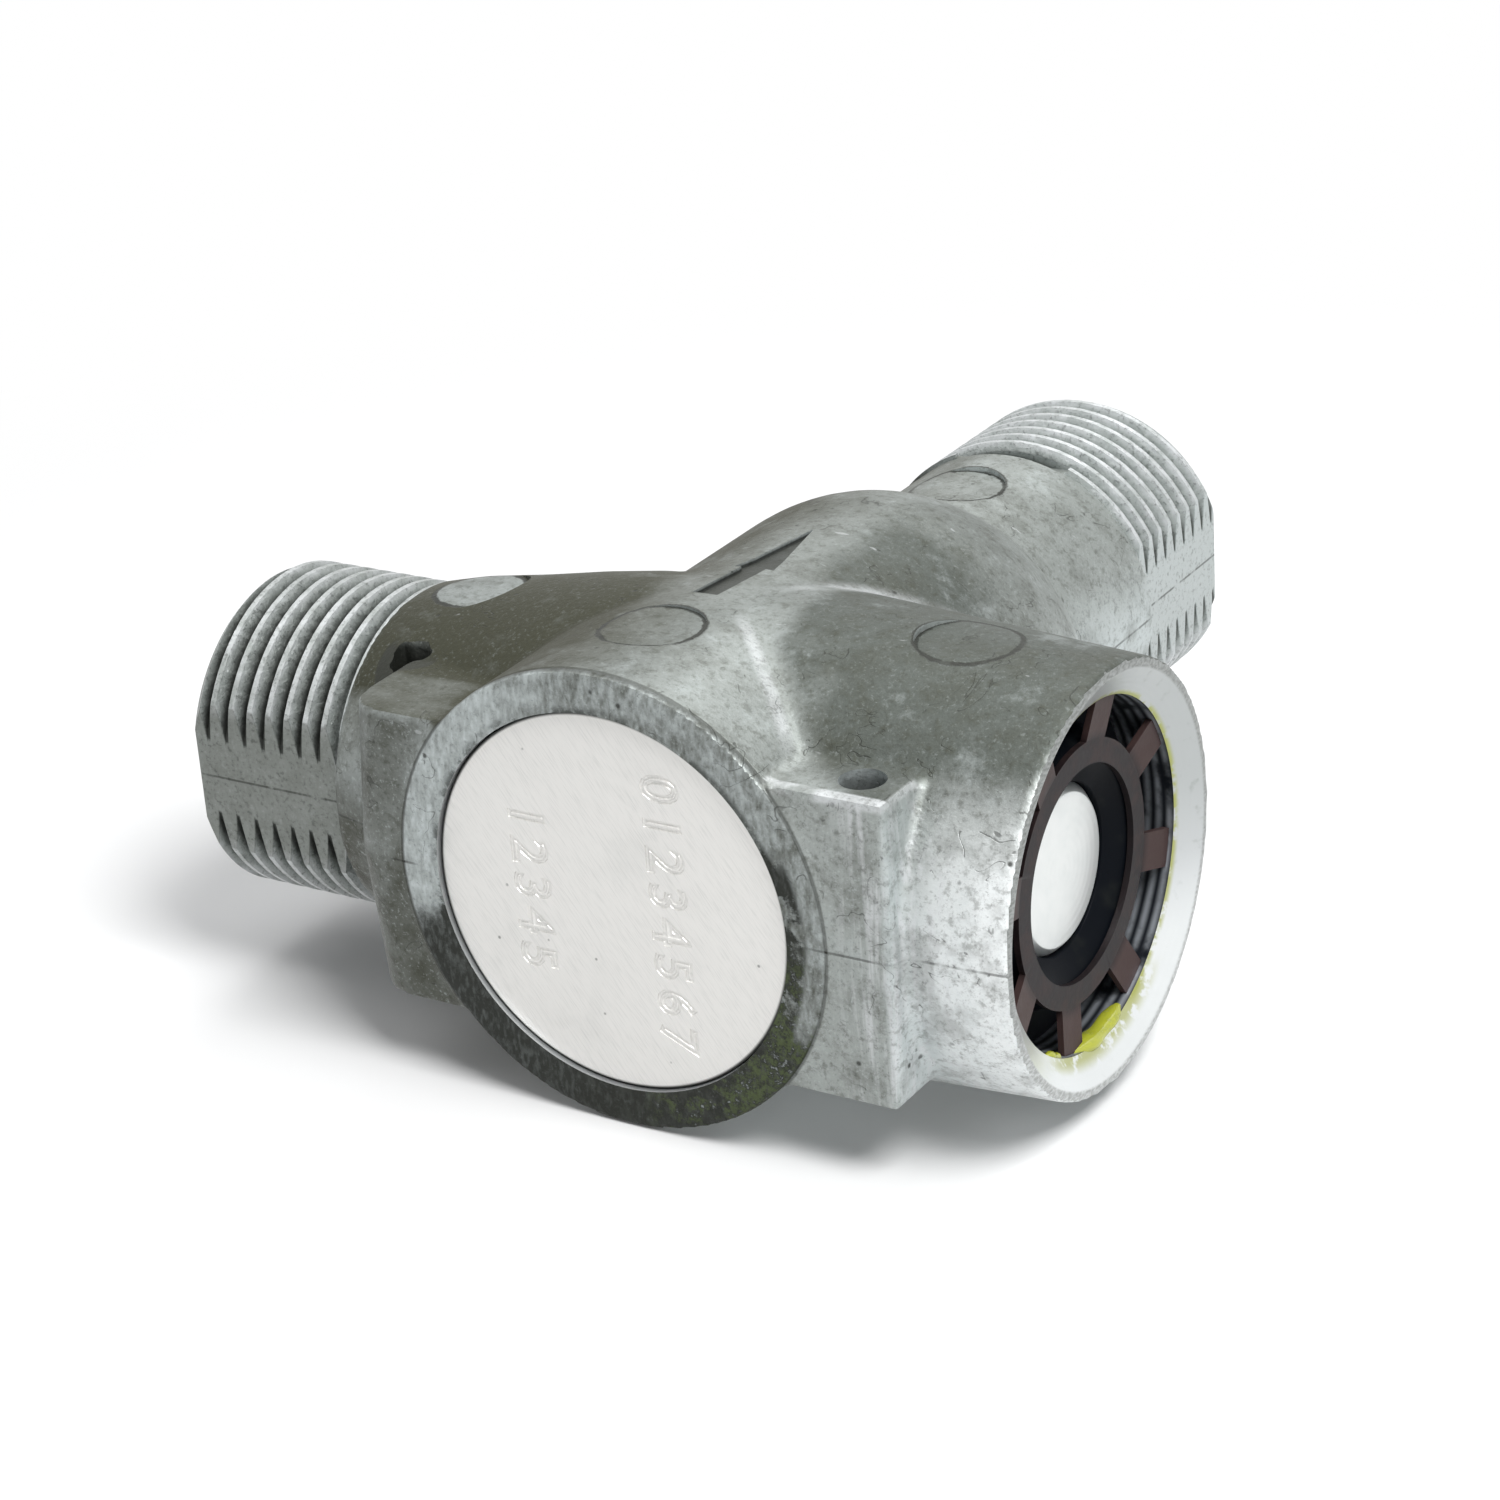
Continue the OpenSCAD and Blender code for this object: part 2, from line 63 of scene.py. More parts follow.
MM = 0.001
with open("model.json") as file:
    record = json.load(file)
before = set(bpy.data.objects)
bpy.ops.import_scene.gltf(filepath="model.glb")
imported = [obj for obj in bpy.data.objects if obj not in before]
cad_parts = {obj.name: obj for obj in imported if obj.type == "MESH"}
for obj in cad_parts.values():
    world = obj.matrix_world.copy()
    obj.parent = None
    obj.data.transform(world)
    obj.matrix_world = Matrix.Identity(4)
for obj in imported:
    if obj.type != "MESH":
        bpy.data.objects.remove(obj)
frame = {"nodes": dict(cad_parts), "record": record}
CAD_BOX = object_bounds()
MOUNTS = {mount["name"]: mount for mount in frame["record"]["mounts"]}
INLET = Vector(MOUNTS["inlet_port"]["pos_m"])
OUTLET = Vector(MOUNTS["outlet_port"]["pos_m"])
# The valve centre, where the plunger axis and the flow axis cross
CENTRE = Vector((OUTLET.x, 0, 0))
BODY_LOW, BODY_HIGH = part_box("valve_body")
# Sizes and the ends of the valve in millimetres, measured from its centre
INLET_X = (INLET.x - CENTRE.x) / MM
OUTLET_Y = OUTLET.y / MM
COVER_Y = BODY_LOW.y / MM
PLUNGER_X = (BODY_HIGH.x - CENTRE.x) / MM
RIM_R = BODY_HIGH.z / MM
PORT_R = MOUNTS["inlet_port"]["dims"]["r_mm"]
PORT_DEPTH = MOUNTS["inlet_port"]["dims"]["length_mm"]
THREAD_R = MOUNTS["inlet_thread"]["dims"]["r_mm"]
THREAD_LENGTH = MOUNTS["inlet_thread"]["dims"]["length_mm"]

# Places in millimetres from the valve centre, shared by the shapes and the finishes
CORE_HOLE = (-23.5, -8.2)
SEAL_HOLE = (19.8, -14.3)
ARROW_X = -0.8
# The arrow's ends along the flow axis
ARROW_Y = (-1.2, 14.9)
INLET_MARK = (-22.7, 0.5)
# Each ejector mark's name, its place, the radius of its dark ring and the height of its face
MARKS = (
    ("inlet", INLET_MARK, 3.65, 14.2),
    ("rim", (-0.8, -8.5), 3.95, RIM_R - 0.3),
    ("plunger", (20.5, 0.5), 3.95, 16.75),
    ("outlet", (-0.9, 38), 3.95, 12.45),
)
# The floors of the cover's pocket and of the bush's wider bore
COVER_STEP = -15.3
BUSH_STEP = 23.2
# The camera's place from the valve centre in metres, its turn in degrees and its lens
CAMERA_PLACE = (0.143822, -0.220407, 0.122863)
CAMERA_TURN = (65.75104, 3.78720, 31.15918)
CAMERA_LENS = 91.364
# Each lamp's name, place from the valve centre and size in metres, and watts
LAMPS = (
    ("key", (0.29, -0.11, 0.48), 0.24, 3.75),
    ("fill", (-0.24, -0.02, 0.50), 0.50, 0.7),
    ("back", (-0.05, 0.34, 0.50), 0.40, 1.3),
)
SURROUND = (0.92, 0.96, 1.0)
SURROUND_STRENGTH = 0.19
# Face slots of the casting
SKIN, THREAD, BORE, TURNED = range(4)


# ---------------------------------------------------------------- sizes and colours


def length(name, description, default_mm):
    """A size property, given in millimetres and kept in metres."""
    return FloatProperty(
        name=name, description=description, default=default_mm * MM, unit="LENGTH", precision=5
    )


def colour(name, description, default):
    """A colour property."""
    return FloatVectorProperty(
        name=name, description=description, default=default, subtype="COLOR", size=3, min=0, max=1
    )


class ValveCastingSizes(bpy.types.PropertyGroup):
    """Sizes of the die-cast body."""

    barrel_taper: length("Barrel draft", "How much the flow barrel's radius shrinks to its round end", 1.1)
    rim_end: length("Rim end", "Valve centre to where the cover rim ends", 6)
    taper_end: length("Taper end", "Valve centre to where the barrels' tapers end", 8)
    dome_y: length("Dome centre", "Valve centre to the middle of the barrel's round end", 21)
    outlet_neck_r: length("Outlet neck radius", "Radius of the outlet neck", 12.9)
    plunger_rim_r: length("Plunger rim radius", "Outer radius of the plunger barrel's rim", 16.4)
    plunger_root_r: length("Plunger root radius", "Radius of the plunger barrel at the flow barrel", 17.7)
    inlet_neck_r: length("Inlet neck radius", "Radius of the inlet neck at its thread", 13.4)
    inlet_root_r: length("Inlet root radius", "Radius of the inlet neck at the flow barrel", 17.6)
    neck_root_x: length("Neck root", "Valve centre to where the inlet neck stops widening", 9)
    boss_half_h: length("Boss half height", "Parting plane to the top of each side boss", 12)
    boss_side_x: length("Boss side", "Valve centre to the plunger boss's outer side", 24.3)
    inlet_boss_side_x: length("Inlet boss side", "Valve centre to the inlet boss's outer side", 23.6)
    mark_r: length("Ejector mark radius", "Radius of the round marks that the ejector pins leave", 4)
    cover_bore_r: length("Cover pocket radius", "Radius of the pocket for the cover disc", 15.12)
    grain: length("Casting grain", "Voxel size of the cast skin before it is smoothed", 0.41)
    softness: IntProperty(name="Softness", description="Smoothing passes on the cast skin", default=4)


class ValveThreadSizes(bpy.types.PropertyGroup):
    """Sizes of the two pipe threads."""

    pitch: length("Pitch", "Distance between crests", 1.814)
    depth: length("Depth", "Crest to root", 1.162)
    flats: length("Half flats", "Axis to the flats at the mould parting", 11.7)


class ValveMouthSizes(bpy.types.PropertyGroup):
    """Sizes of the plunger end."""

    bore_r: length("Mouth bore radius", "Radius of the bore behind the chamfer", 13.4)
    bevel_r: length("Chamfer radius", "Radius where the chamfer meets the rim", 15.6)
    bevel_l: length("Chamfer length", "Depth of the chamfer", 1.5)
    hub_r: length("Ring hub radius", "Radius of the retaining ring between its prongs", 10.1)
    hole_r: length("Ring hole radius", "Radius of the hole in the retaining ring", 8.25)
    prong_w: length("Prong width", "Width of each prong", 3)
    prong_turn: FloatProperty(
        name="Prong turn",
        description="Angle of the first prong from the top",
        default=math.radians(15),
        unit="ROTATION",
    )
    plunger_r: length("Plunger radius", "Radius of the plunger", 6.5)
    plunger_face_r: length("Plunger face radius", "Radius of the plunger's flat face", 5.83)


class ValveStampSizes(bpy.types.PropertyGroup):
    """The plain figures stamped on the cover disc."""

    first_row: StringProperty(
        name="First row", description="Generic figures of the long row", default="01234567"
    )
    second_row: StringProperty(
        name="Second row", description="Generic figures of the short row", default="12345"
    )
    height: length("Figure height", "Height of each figure", 3.2)
    depth: length("Stroke depth", "Half width of each stamped stroke", 0.16)


class ValveColours(bpy.types.PropertyGroup):
    """Colours of the finishes."""

    # Also used for painted shade on the upper part of the turned faces.
    cast: colour("Cast metal", "Clean cast metal", (0.33, 0.355, 0.34))
    chalk: colour("Chalky metal", "Bluish-white oxide on the lower sides", (0.56, 0.61, 0.61))
    # Also used for painted shade on the inlet side's side and lower faces.
    stain: colour("Stain", "Olive-brown stain on the upper sides", (0.034, 0.035, 0.019))
    # Also used for painted shade in the recesses, along the cover rim's outer edge and round the cover
    # disc's edge.
    grime: colour("Grime", "Dark dirt in grooves", (0.024, 0.026, 0.021))
    moss: colour("Moss", "Green-yellow growth on the cover rim", (0.092, 0.118, 0.05))
    # Also used for painted highlights in the creases, on the plunger boss's top edge and on the thread
    # crests.
    turned: colour("Turned metal", "Freshly turned metal", (0.62, 0.64, 0.65))
    disc: colour("Cover disc", "Brushed cover disc", (0.79, 0.78, 0.755))
    ring: colour("Ring", "Brown oxide of the retaining ring", (0.050, 0.030, 0.028))
    bush: colour("Bush", "Black of the guide bush", (0.003, 0.004, 0.006))
    lacquer: colour("Lacquer", "Yellow-green sealing lacquer", (0.36, 0.38, 0.03))
    brass: colour("Brass", "Machined brass", (0.78, 0.58, 0.27))
    steel: colour("Steel", "Stainless steel", (0.62, 0.62, 0.61))
    rubber: colour("Rubber", "Black rubber", (0.018, 0.018, 0.018))
    plastic: colour("Plastic", "Off-white moulded plastic", (0.78, 0.77, 0.70))
    film: colour("Grey film", "Neutral grey film on the plunger barrel", (0.078, 0.088, 0.078))
    # Painted highlight: the bright light on the plunger barrel's sides and on the lower part of the turned
    # faces.
    bloom: colour("Bloom", "Brightest oxide, beside the plunger end", (0.84, 0.87, 0.87))
    hub: colour("Ring hub", "Dark middle of the retaining ring", (0.012, 0.009, 0.010))
    shadow: colour("Bore shadow", "Dark bands of the mouth's wall", (0.03, 0.035, 0.045))
    glint: colour("Bore glint", "Bright bands of the mouth's wall", (0.58, 0.62, 0.67))
    plunger: colour("Plunger", "Pale plunger", (0.78, 0.80, 0.79))
    floor: colour("Floor", "Pale floor", (0.80, 0.80, 0.80))


GROUPS = {
    "valve_casting": ValveCastingSizes,
    "valve_thread": ValveThreadSizes,
    "valve_mouth": ValveMouthSizes,
    "valve_stamp": ValveStampSizes,
    "valve_colours": ValveColours,
}


class Sizes:
    """A property group whose lengths are read in millimetres."""

    def __init__(self, group_name):
        self.group = getattr(bpy.context.scene, group_name)

    def __getattr__(self, key):
        value = getattr(self.group, key)
        return value / MM if self.group.bl_rna.properties[key].unit == "LENGTH" else value


def colours():
    """The finishes' colours."""
    return bpy.context.scene.valve_colours


# ---------------------------------------------------------------- shader maths


class Value:
    """A socket in a material, so that shader maths reads as plain expressions."""

    def __init__(self, maker, socket):
        self.maker = maker
        self.socket = socket

    def math(self, operation, *others):
        return self.maker.add("ShaderNodeMath", {"operation": operation}, (self, *others))

    def __add__(self, other):
        return self.math("ADD", other)

    def __sub__(self, other):
        return self.math("SUBTRACT", other)

    def __mul__(self, other):
        return self.math("MULTIPLY", other)

    def __rsub__(self, other):
        return self.maker.add("ShaderNodeMath", {"operation": "SUBTRACT"}, (other, self))

    def __abs__(self):
        return self.math("ABSOLUTE")

    __radd__ = __add__
    __rmul__ = __mul__

    def clamp(self):
        return self.maker.add("ShaderNodeClamp", {}, (self, 0.0, 1.0))

    def ramp(self, low, high):
        """0 below low, 1 above high and smooth between; low may be the larger one."""
        return self.maker.add(
            "ShaderNodeMapRange", {"interpolation_type": "SMOOTHSTEP"}, (self, low, high, 0.0, 1.0)
        )


class Maker:
    """One material and its nodes."""

    def __init__(self, name):
        self.material = bpy.data.materials.new(name)
        self.material.use_nodes = True
        self.tree = self.material.node_tree
        self.tree.nodes.clear()
        place = self.add("ShaderNodeTexCoord", {}, (), "Object")
        # Millimetres from the valve centre
        moved = self.add("ShaderNodeVectorMath", {"operation": "SUBTRACT"}, (place, tuple(CENTRE)))
        self.place = self.add("ShaderNodeVectorMath", {"operation": "SCALE"}, {0: moved, "Scale": 1 / MM})

    def add(self, kind, options=None, inputs=(), output=0):
        """Adds a node, sets its options, then its sockets, and gives one output."""
        node = self.tree.nodes.new(kind)
        for key, value in (options or {}).items():
            setattr(node, key, value)
        pairs = inputs.items() if isinstance(inputs, dict) else enumerate(inputs)
        for key, value in pairs:
            socket = node.inputs[key]
            if isinstance(value, Value):
                self.tree.links.new(value.socket, socket)
            else:
                socket.default_value = value
        return Value(self, node.outputs[output])

    def axes(self, vector=None):
        """The x, y and z of a vector, by default the place in millimetres."""
        vector = vector or self.place
        return [self.add("ShaderNodeSeparateXYZ", {}, (vector,), i) for i in range(3)]

    def combine(self, x, y, z):
        return self.add("ShaderNodeCombineXYZ", {}, (x, y, z))

    def stretch(self, x, y, z, vector=None):
        """A vector scaled by a different factor along each axis."""
        factors = (x, y, z)
        return self.add("ShaderNodeVectorMath", {"operation": "MULTIPLY"}, (vector or self.place, factors))

    def noise(self, size, detail=3.0, roughness=0.55, vector=None, distortion=0.0):
        """Fractal noise with features of about that many millimetres, about 0 to 1."""
        sockets = {
            "Vector": vector or self.place,
            "Scale": 1 / size,
            "Detail": detail,
            "Roughness": roughness,
            "Distortion": distortion,
        }
        return self.add("ShaderNodeTexNoise", {}, sockets)

    def cells(self, size):
        """Distance to scattered points about that many millimetres apart."""
        sockets = {"Vector": self.place, "Scale": 1 / size}
        return self.add("ShaderNodeTexVoronoi", {"feature": "F1"}, sockets, "Distance")

    def blend(self, first, second, factor):
        """A colour between two colours."""
        sockets = {0: factor, 6: rgba(first), 7: rgba(second)}
        options = {"data_type": "RGBA", "blend_type": "MIX"}
        return self.add("ShaderNodeMix", options, sockets, 2)

    def facing(self):
        """The surface's own direction, as three parts."""
        return self.axes(self.add("ShaderNodeTexCoord", {}, (), "Normal"))

    def bump(self, height, distance_mm, strength=1.0):
        sockets = {"Height": height, "Distance": distance_mm * MM, "Strength": strength}
        return self.add("ShaderNodeBump", {}, sockets)

    def finish(self, base, roughness, metallic=0.0, normal=None, **constants):
        """Closes the material with a Principled shader."""
        sockets = {"Base Color": rgba(base), "Roughness": roughness, "Metallic": metallic}
        if normal:
            sockets["Normal"] = normal
        for key, value in constants.items():
            sockets[key.replace("_", " ").title().replace("Ior", "IOR")] = value
        shader = self.add("ShaderNodeBsdfPrincipled", {}, sockets)
        end = self.tree.nodes.new("ShaderNodeOutputMaterial")
        self.tree.links.new(shader.socket, end.inputs["Surface"])
        return self.material


def far(a, b):
    """The distance from the line where both are zero."""
    return (a * a + b * b).math("SQRT")


def rgba(value):
    """A colour with its alpha, or the link that brings one."""
    return value if isinstance(value, Value) else (*value[:3], 1.0)


# ---------------------------------------------------------------- modelling in millimetres
# Shapes are drawn in millimetres about the valve centre; make_object puts them in place.

AXIS_TURN = {
    "X": Matrix.Identity(4),
    "Y": Matrix.Rotation(math.radians(90), 4, "Z"),
    "Z": Matrix.Rotation(math.radians(-90), 4, "Y"),
}


def add_object(name, data):
    """Puts new object data in the scene."""
    obj = bpy.data.objects.new(name, data)
    bpy.context.scene.collection.objects.link(obj)
    return obj


def new_mesh(name, bm):
    """A mesh from an edit mesh, which is freed."""
    mesh = bpy.data.meshes.new(name)
    bm.to_mesh(mesh)
    bm.free()
    return mesh


def make_object(name, bm, clean=True):
    """Makes an object from a mesh drawn in millimetres about the valve centre."""
    if clean:
        bmesh.ops.remove_doubles(bm, verts=bm.verts, dist=1e-4)
        bmesh.ops.recalc_face_normals(bm, faces=bm.faces)
    bmesh.ops.transform(bm, matrix=Matrix.Translation(CENTRE) @ Matrix.Scale(MM, 4), verts=bm.verts)
    return add_object(name, new_mesh(name, bm))


def rounded(points, steps=4):
    """An outline whose corners are rounded by their third value, a radius."""
    result = []
    count = len(points)
    for i, point in enumerate(points):
        corner = Vector(point[:2])
        radius = point[2] if len(point) > 2 else 0
        if not radius:
            result.append(tuple(corner))
            continue
        before = (Vector(points[i - 1][:2]) - corner).normalized()
        after = (Vector(points[(i + 1) % count][:2]) - corner).normalized()
        half = before.angle(after) / 2
        middle = corner + (before + after).normalized() * radius / math.sin(half)
        start = corner + before * radius / math.tan(half) - middle
        end = corner + after * radius / math.tan(half) - middle
        turn = start.angle_signed(end)
        for k in range(steps + 1):
            angle = -turn * k / steps
            spun = Matrix.Rotation(angle, 2) @ start
            result.append(tuple(middle + spun))
    return result


def lathe_mesh(outline, axis="X", steps=128):
    """A round solid from the (along, radius) points of its closed outline."""
    bm = bmesh.new()
    verts = [bm.verts.new((along, 0, radius)) for along, radius in outline]
    edges = [bm.edges.new(pair) for pair in zip(verts, verts[1:])]
    edges.append(bm.edges.new((verts[-1], verts[0])))
    bmesh.ops.spin(
        bm, geom=verts + edges, cent=(0, 0, 0), axis=(1, 0, 0), angle=math.tau, steps=steps, use_merge=True
    )
    bmesh.ops.remove_doubles(bm, verts=bm.verts, dist=1e-4)
    bmesh.ops.recalc_face_normals(bm, faces=bm.faces)
    bmesh.ops.transform(bm, matrix=AXIS_TURN[axis], verts=bm.verts)
    return bm


def lathe(name, outline, axis="X", steps=128):
    return make_object(name, lathe_mesh(outline, axis, steps))


def rod_mesh(low, high, radius, axis="X", steps=128):
    """A plain round rod between two places on its axis."""
    return lathe_mesh([(low, 0), (low, radius), (high, radius), (high, 0)], axis, steps)


def spun_face(bm, verts, **options):
    """Fills an outline and sweeps it about the X axis."""
    face = bm.faces.new(verts)
    geometry = [face, *face.edges, *verts]
    bmesh.ops.spin(bm, geom=geometry, cent=(0, 0, 0), use_merge=False, **options)


def prism_mesh(outline, low, high):
    """An upright prism from (x, y) points between two heights."""
    bm = bmesh.new()
    face = bm.faces.new([bm.verts.new((x, y, low)) for x, y in outline])
    grown = bmesh.ops.extrude_face_region(bm, geom=[face])["geom"]
    top = [part for part in grown if isinstance(part, bmesh.types.BMVert)]
    bmesh.ops.translate(bm, vec=(0, 0, high - low), verts=top)
    bmesh.ops.recalc_face_normals(bm, faces=bm.faces)
    return bm


def prism(name, outline, low, high):
    return make_object(name, prism_mesh(outline, low, high))


def box(name, low, high):
    """A plain box used as a cutter."""
    outline = [(low[0], low[1]), (high[0], low[1]), (high[0], high[1]), (low[0], high[1])]
    return prism(name, outline, low[2], high[2])


def join_meshes(name, meshes):
    """One object from several closed meshes that may overlap."""
    whole = bmesh.new()
    for bm in meshes:
        mesh = new_mesh("part", bm)
        whole.from_mesh(mesh)
        bpy.data.meshes.remove(mesh)
    return make_object(name, whole, clean=False)


def apply_modifiers(obj):
    """Makes an object's modifiers part of its mesh."""
    graph = bpy.context.evaluated_depsgraph_get()
    mesh = bpy.data.meshes.new_from_object(obj.evaluated_get(graph))
    old = obj.data
    obj.modifiers.clear()
    obj.data = mesh
    bpy.data.meshes.remove(old)


def combine(target, tools, operation):
    """Joins the tool objects to the target, cuts them from it or keeps what they share."""
    for tool in tools:
        change = target.modifiers.new(tool.name, "BOOLEAN")
        change.operation = operation
        change.solver = "MANIFOLD"
        change.object = tool
        apply_modifiers(target)
        if not target.data.polygons:
            raise RuntimeError(f"{operation} with {tool.name} left nothing of {target.name}")
        bpy.data.objects.remove(tool)
    return target


def recast(obj, cell, passes=0):
    """Remakes an object's surface from small cells and smooths it; cell in millimetres."""
    grain = obj.modifiers.new("Grain", "REMESH")
    grain.mode = "VOXEL"
    grain.voxel_size = cell * MM
    if passes:
        soft = obj.modifiers.new("Soft", "SMOOTH")
        soft.factor = 0.5
        soft.iterations = passes
    apply_modifiers(obj)


def bevel_edges(obj, width, angle):
    """Rounds an object's sharp edges; width in millimetres."""
    change = obj.modifiers.new("Rounded edges", "BEVEL")
    change.width = width * MM
    change.segments = 2
    change.limit_method = "ANGLE"
    change.angle_limit = math.radians(angle)
    change.harden_normals = True
    apply_modifiers(obj)


def shade(obj, angle):
    """Smooth shading, with edges sharper than the angle kept crisp."""
    obj.data.shade_smooth()
    obj.data.set_sharp_from_angle(angle=math.radians(angle))


def seat(obj, node, body="housing", also=()):
    """Makes an object stand for its CAD node on that node's body."""
    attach(obj, body)
    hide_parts(node, *also)


def give(obj, *materials):
    """Puts materials into an object's slots."""
    obj.data.materials.clear()
    for material in materials:
        obj.data.materials.append(material)


# ---------------------------------------------------------------- the cast body


def drafted_boss(outline, half_h, side_draft, front_draft):
    """The two halves of a side boss, narrower above and below the parting plane."""
    halves = []
    for side in (1, -1):
        bm = prism_mesh(outline, 0, side * half_h)
        outward = 1 if max(x for x, y in outline) > 15 else -1
        outer = [v for v in bm.verts if abs(v.co.z) > 1 and abs(v.co.x) > 15]
        bmesh.ops.translate(bm, vec=(-outward * side_draft, 0, 0), verts=outer)
        front = [v for v in bm.verts if abs(v.co.z) > 1 and v.co.y < -12]
        bmesh.ops.translate(bm, vec=(0, front_draft, 0), verts=front)
        bmesh.ops.recalc_face_normals(bm, faces=bm.faces)
        halves.append(bm)
    return halves


def barrel_outline(sizes, inset=0):
    """Half section of the flow barrel and its round end, from the rim along the flow axis."""
    rim_r = RIM_R - inset
    end_r = rim_r - sizes.barrel_taper
    dome = [
        (sizes.dome_y + end_r * math.sin(math.radians(a)), end_r * math.cos(math.radians(a)))
        for a in range(0, 90, 6)
    ]
    return [
        (COVER_Y, 0), (COVER_Y, rim_r), (-sizes.rim_end, rim_r), (sizes.taper_end, end_r), *dome,
        (sizes.dome_y + end_r, 0),
    ]


def cast_skin(sizes):
    """The rough outer shape, blended the way molten metal fills a mould."""
    neck_end = OUTLET_Y - THREAD_LENGTH
    inlet_end = INLET_X + THREAD_LENGTH
    root_r = sizes.plunger_root_r
    meshes = [
        lathe_mesh(barrel_outline(sizes), "Y"),
        rod_mesh(20, neck_end, sizes.outlet_neck_r, "Y"),
        lathe_mesh([(0, 0), (0, root_r), (8, root_r), (PLUNGER_X, sizes.plunger_rim_r), (PLUNGER_X, 0)]),
        lathe_mesh(
            [
                (inlet_end, 0), (inlet_end, sizes.inlet_neck_r), (-24.7, 14.3), (-19.1, 15.2),
                (-13.7, 16.2), (-sizes.neck_root_x, 16.9), (0, sizes.inlet_root_r), (0, 0),
            ]
        ),
    ]
    front = COVER_Y + 0.05
    side = sizes.boss_side_x
    meshes += drafted_boss(
        [(9, front), (side - 0.5, front), (side, -5), (9, -5)], sizes.boss_half_h, 0.7, 0.55
    )
    side = -sizes.inlet_boss_side_x
    corner = rounded([(-9, front), (side, front, 3), (side, -5), (-9, -5)])
    meshes += drafted_boss(corner, sizes.boss_half_h, 0.7, 0.55)
    skin = join_meshes("cast_skin", meshes)
    recast(skin, sizes.grain, sizes.softness)
    return skin


def pipe_thread(name, along, start, inward):
    """A threaded stub: a helical ridge on a core, with two flats; inward is +1 or -1 on the axis."""
    sizes = Sizes("valve_thread")
    crest = THREAD_R
    root = crest - sizes.depth
    pitch = sizes.pitch
    turns = math.ceil(THREAD_LENGTH / pitch) + 1
    steps = 72
    wide = 0.42 * pitch
    narrow = 0.13 * pitch
    buried = root - 0.3
    section = [
        (-wide, buried), (-wide, root), (-narrow, crest), (narrow, crest), (wide, root), (wide, buried),
    ]
    ridge = bmesh.new()
    verts = [ridge.verts.new((-pitch + x, 0, r)) for x, r in section]
    rise = (pitch / steps, 0, 0)
    spun_face(ridge, verts, axis=(1, 0, 0), dvec=rise, angle=math.tau * turns, steps=steps * turns)
    bmesh.ops.remove_doubles(ridge, verts=ridge.verts, dist=1e-5)
    bmesh.ops.recalc_face_normals(ridge, faces=ridge.faces)
    core = rod_mesh(-2, THREAD_LENGTH + 3, root, steps=96)
    end = THREAD_LENGTH + 0.2
    limit = lathe_mesh([(0, 0), (0, root + 0.25), (0.95, crest), (end, crest), (end, 0)], steps=96)
    turn = Matrix.Identity(4)
    if inward < 0:
        turn = Matrix.Rotation(math.pi, 4, "Z")
    place = AXIS_TURN[along] @ Matrix.Translation((start, 0, 0)) @ turn
    parts = []
    for label, bm in (("core", core), ("ridge", ridge), ("limit", limit)):
        bmesh.ops.transform(bm, matrix=place, verts=bm.verts)
        bmesh.ops.recalc_face_normals(bm, faces=bm.faces)
        parts.append(make_object(f"{name}_{label}", bm, clean=False))
    stub = combine(parts[0], parts[1:2], "UNION")
    combine(stub, parts[2:], "INTERSECT")
    half = sizes.flats
    wider = 80
    flats = (wider, half, wider) if along == "X" else (half, wider, wider)
    return combine(stub, [box("flats", [-s for s in flats], flats)], "INTERSECT")


def bore_cutters(sizes):
    """Everything machined out of the casting, as closed shapes."""
    mouth = Sizes("valve_mouth")
    port = PORT_R
    inner = port - 0.5
    inlet = INLET_X
    inlet_mouth = inlet + PORT_DEPTH
    outlet = OUTLET_Y
    outlet_mouth = outlet - PORT_DEPTH
    rim = PLUNGER_X
    passage = 7
    bush = 11
    along_x = [
        (inlet - 1, 0), (inlet - 1, port), (inlet_mouth, port), (inlet_mouth, inner), (-16, inner),
        (-16, passage), (0, passage), (0, bush), (BUSH_STEP, bush), (BUSH_STEP, mouth.bore_r),
        (rim - mouth.bevel_l, mouth.bore_r), (rim, mouth.bevel_r), (rim + 1, mouth.bevel_r), (rim + 1, 0),
    ]
    cover = sizes.cover_bore_r
    cartridge = 13
    groove = 13.8
    seat_r = 12
    along_y = [
        (-19, 0), (-19, cover), (COVER_STEP, cover), (COVER_STEP, cartridge), (11.6, cartridge),
        (11.6, groove), (12.65, groove), (12.65, cartridge), (16.3, cartridge), (16.3, seat_r),
        (27, seat_r), (27, inner), (outlet_mouth, inner), (outlet_mouth, port), (outlet + 1, port),
        (outlet + 1, 0),
    ]
    return lathe("plunger_axis_bore", along_x), lathe("flow_axis_bore", along_y, "Y")


def round_cutter(name, x, y, radius, low, high, steps=48):
    """An upright round cutter."""
    bm = rod_mesh(low, high, radius, "Z", steps)
    bmesh.ops.translate(bm, vec=(x, y, 0), verts=bm.verts)
    return make_object(name, bm)


def ragged_hole(x, y, low, high):
    """The torn mouth of the blind core hole."""
    outline = []
    count = 28
    for i in range(count):
        a = math.tau * i / count
        wobble = 1 + 0.10 * math.sin(3 * a + 0.6) + 0.07 * math.sin(5 * a + 2) + 0.04 * math.sin(9 * a)
        outline.append((x + 1.8 * wobble * math.cos(a), y + 1.3 * wobble * math.sin(a)))
    return prism("core_hole", outline, low, high)


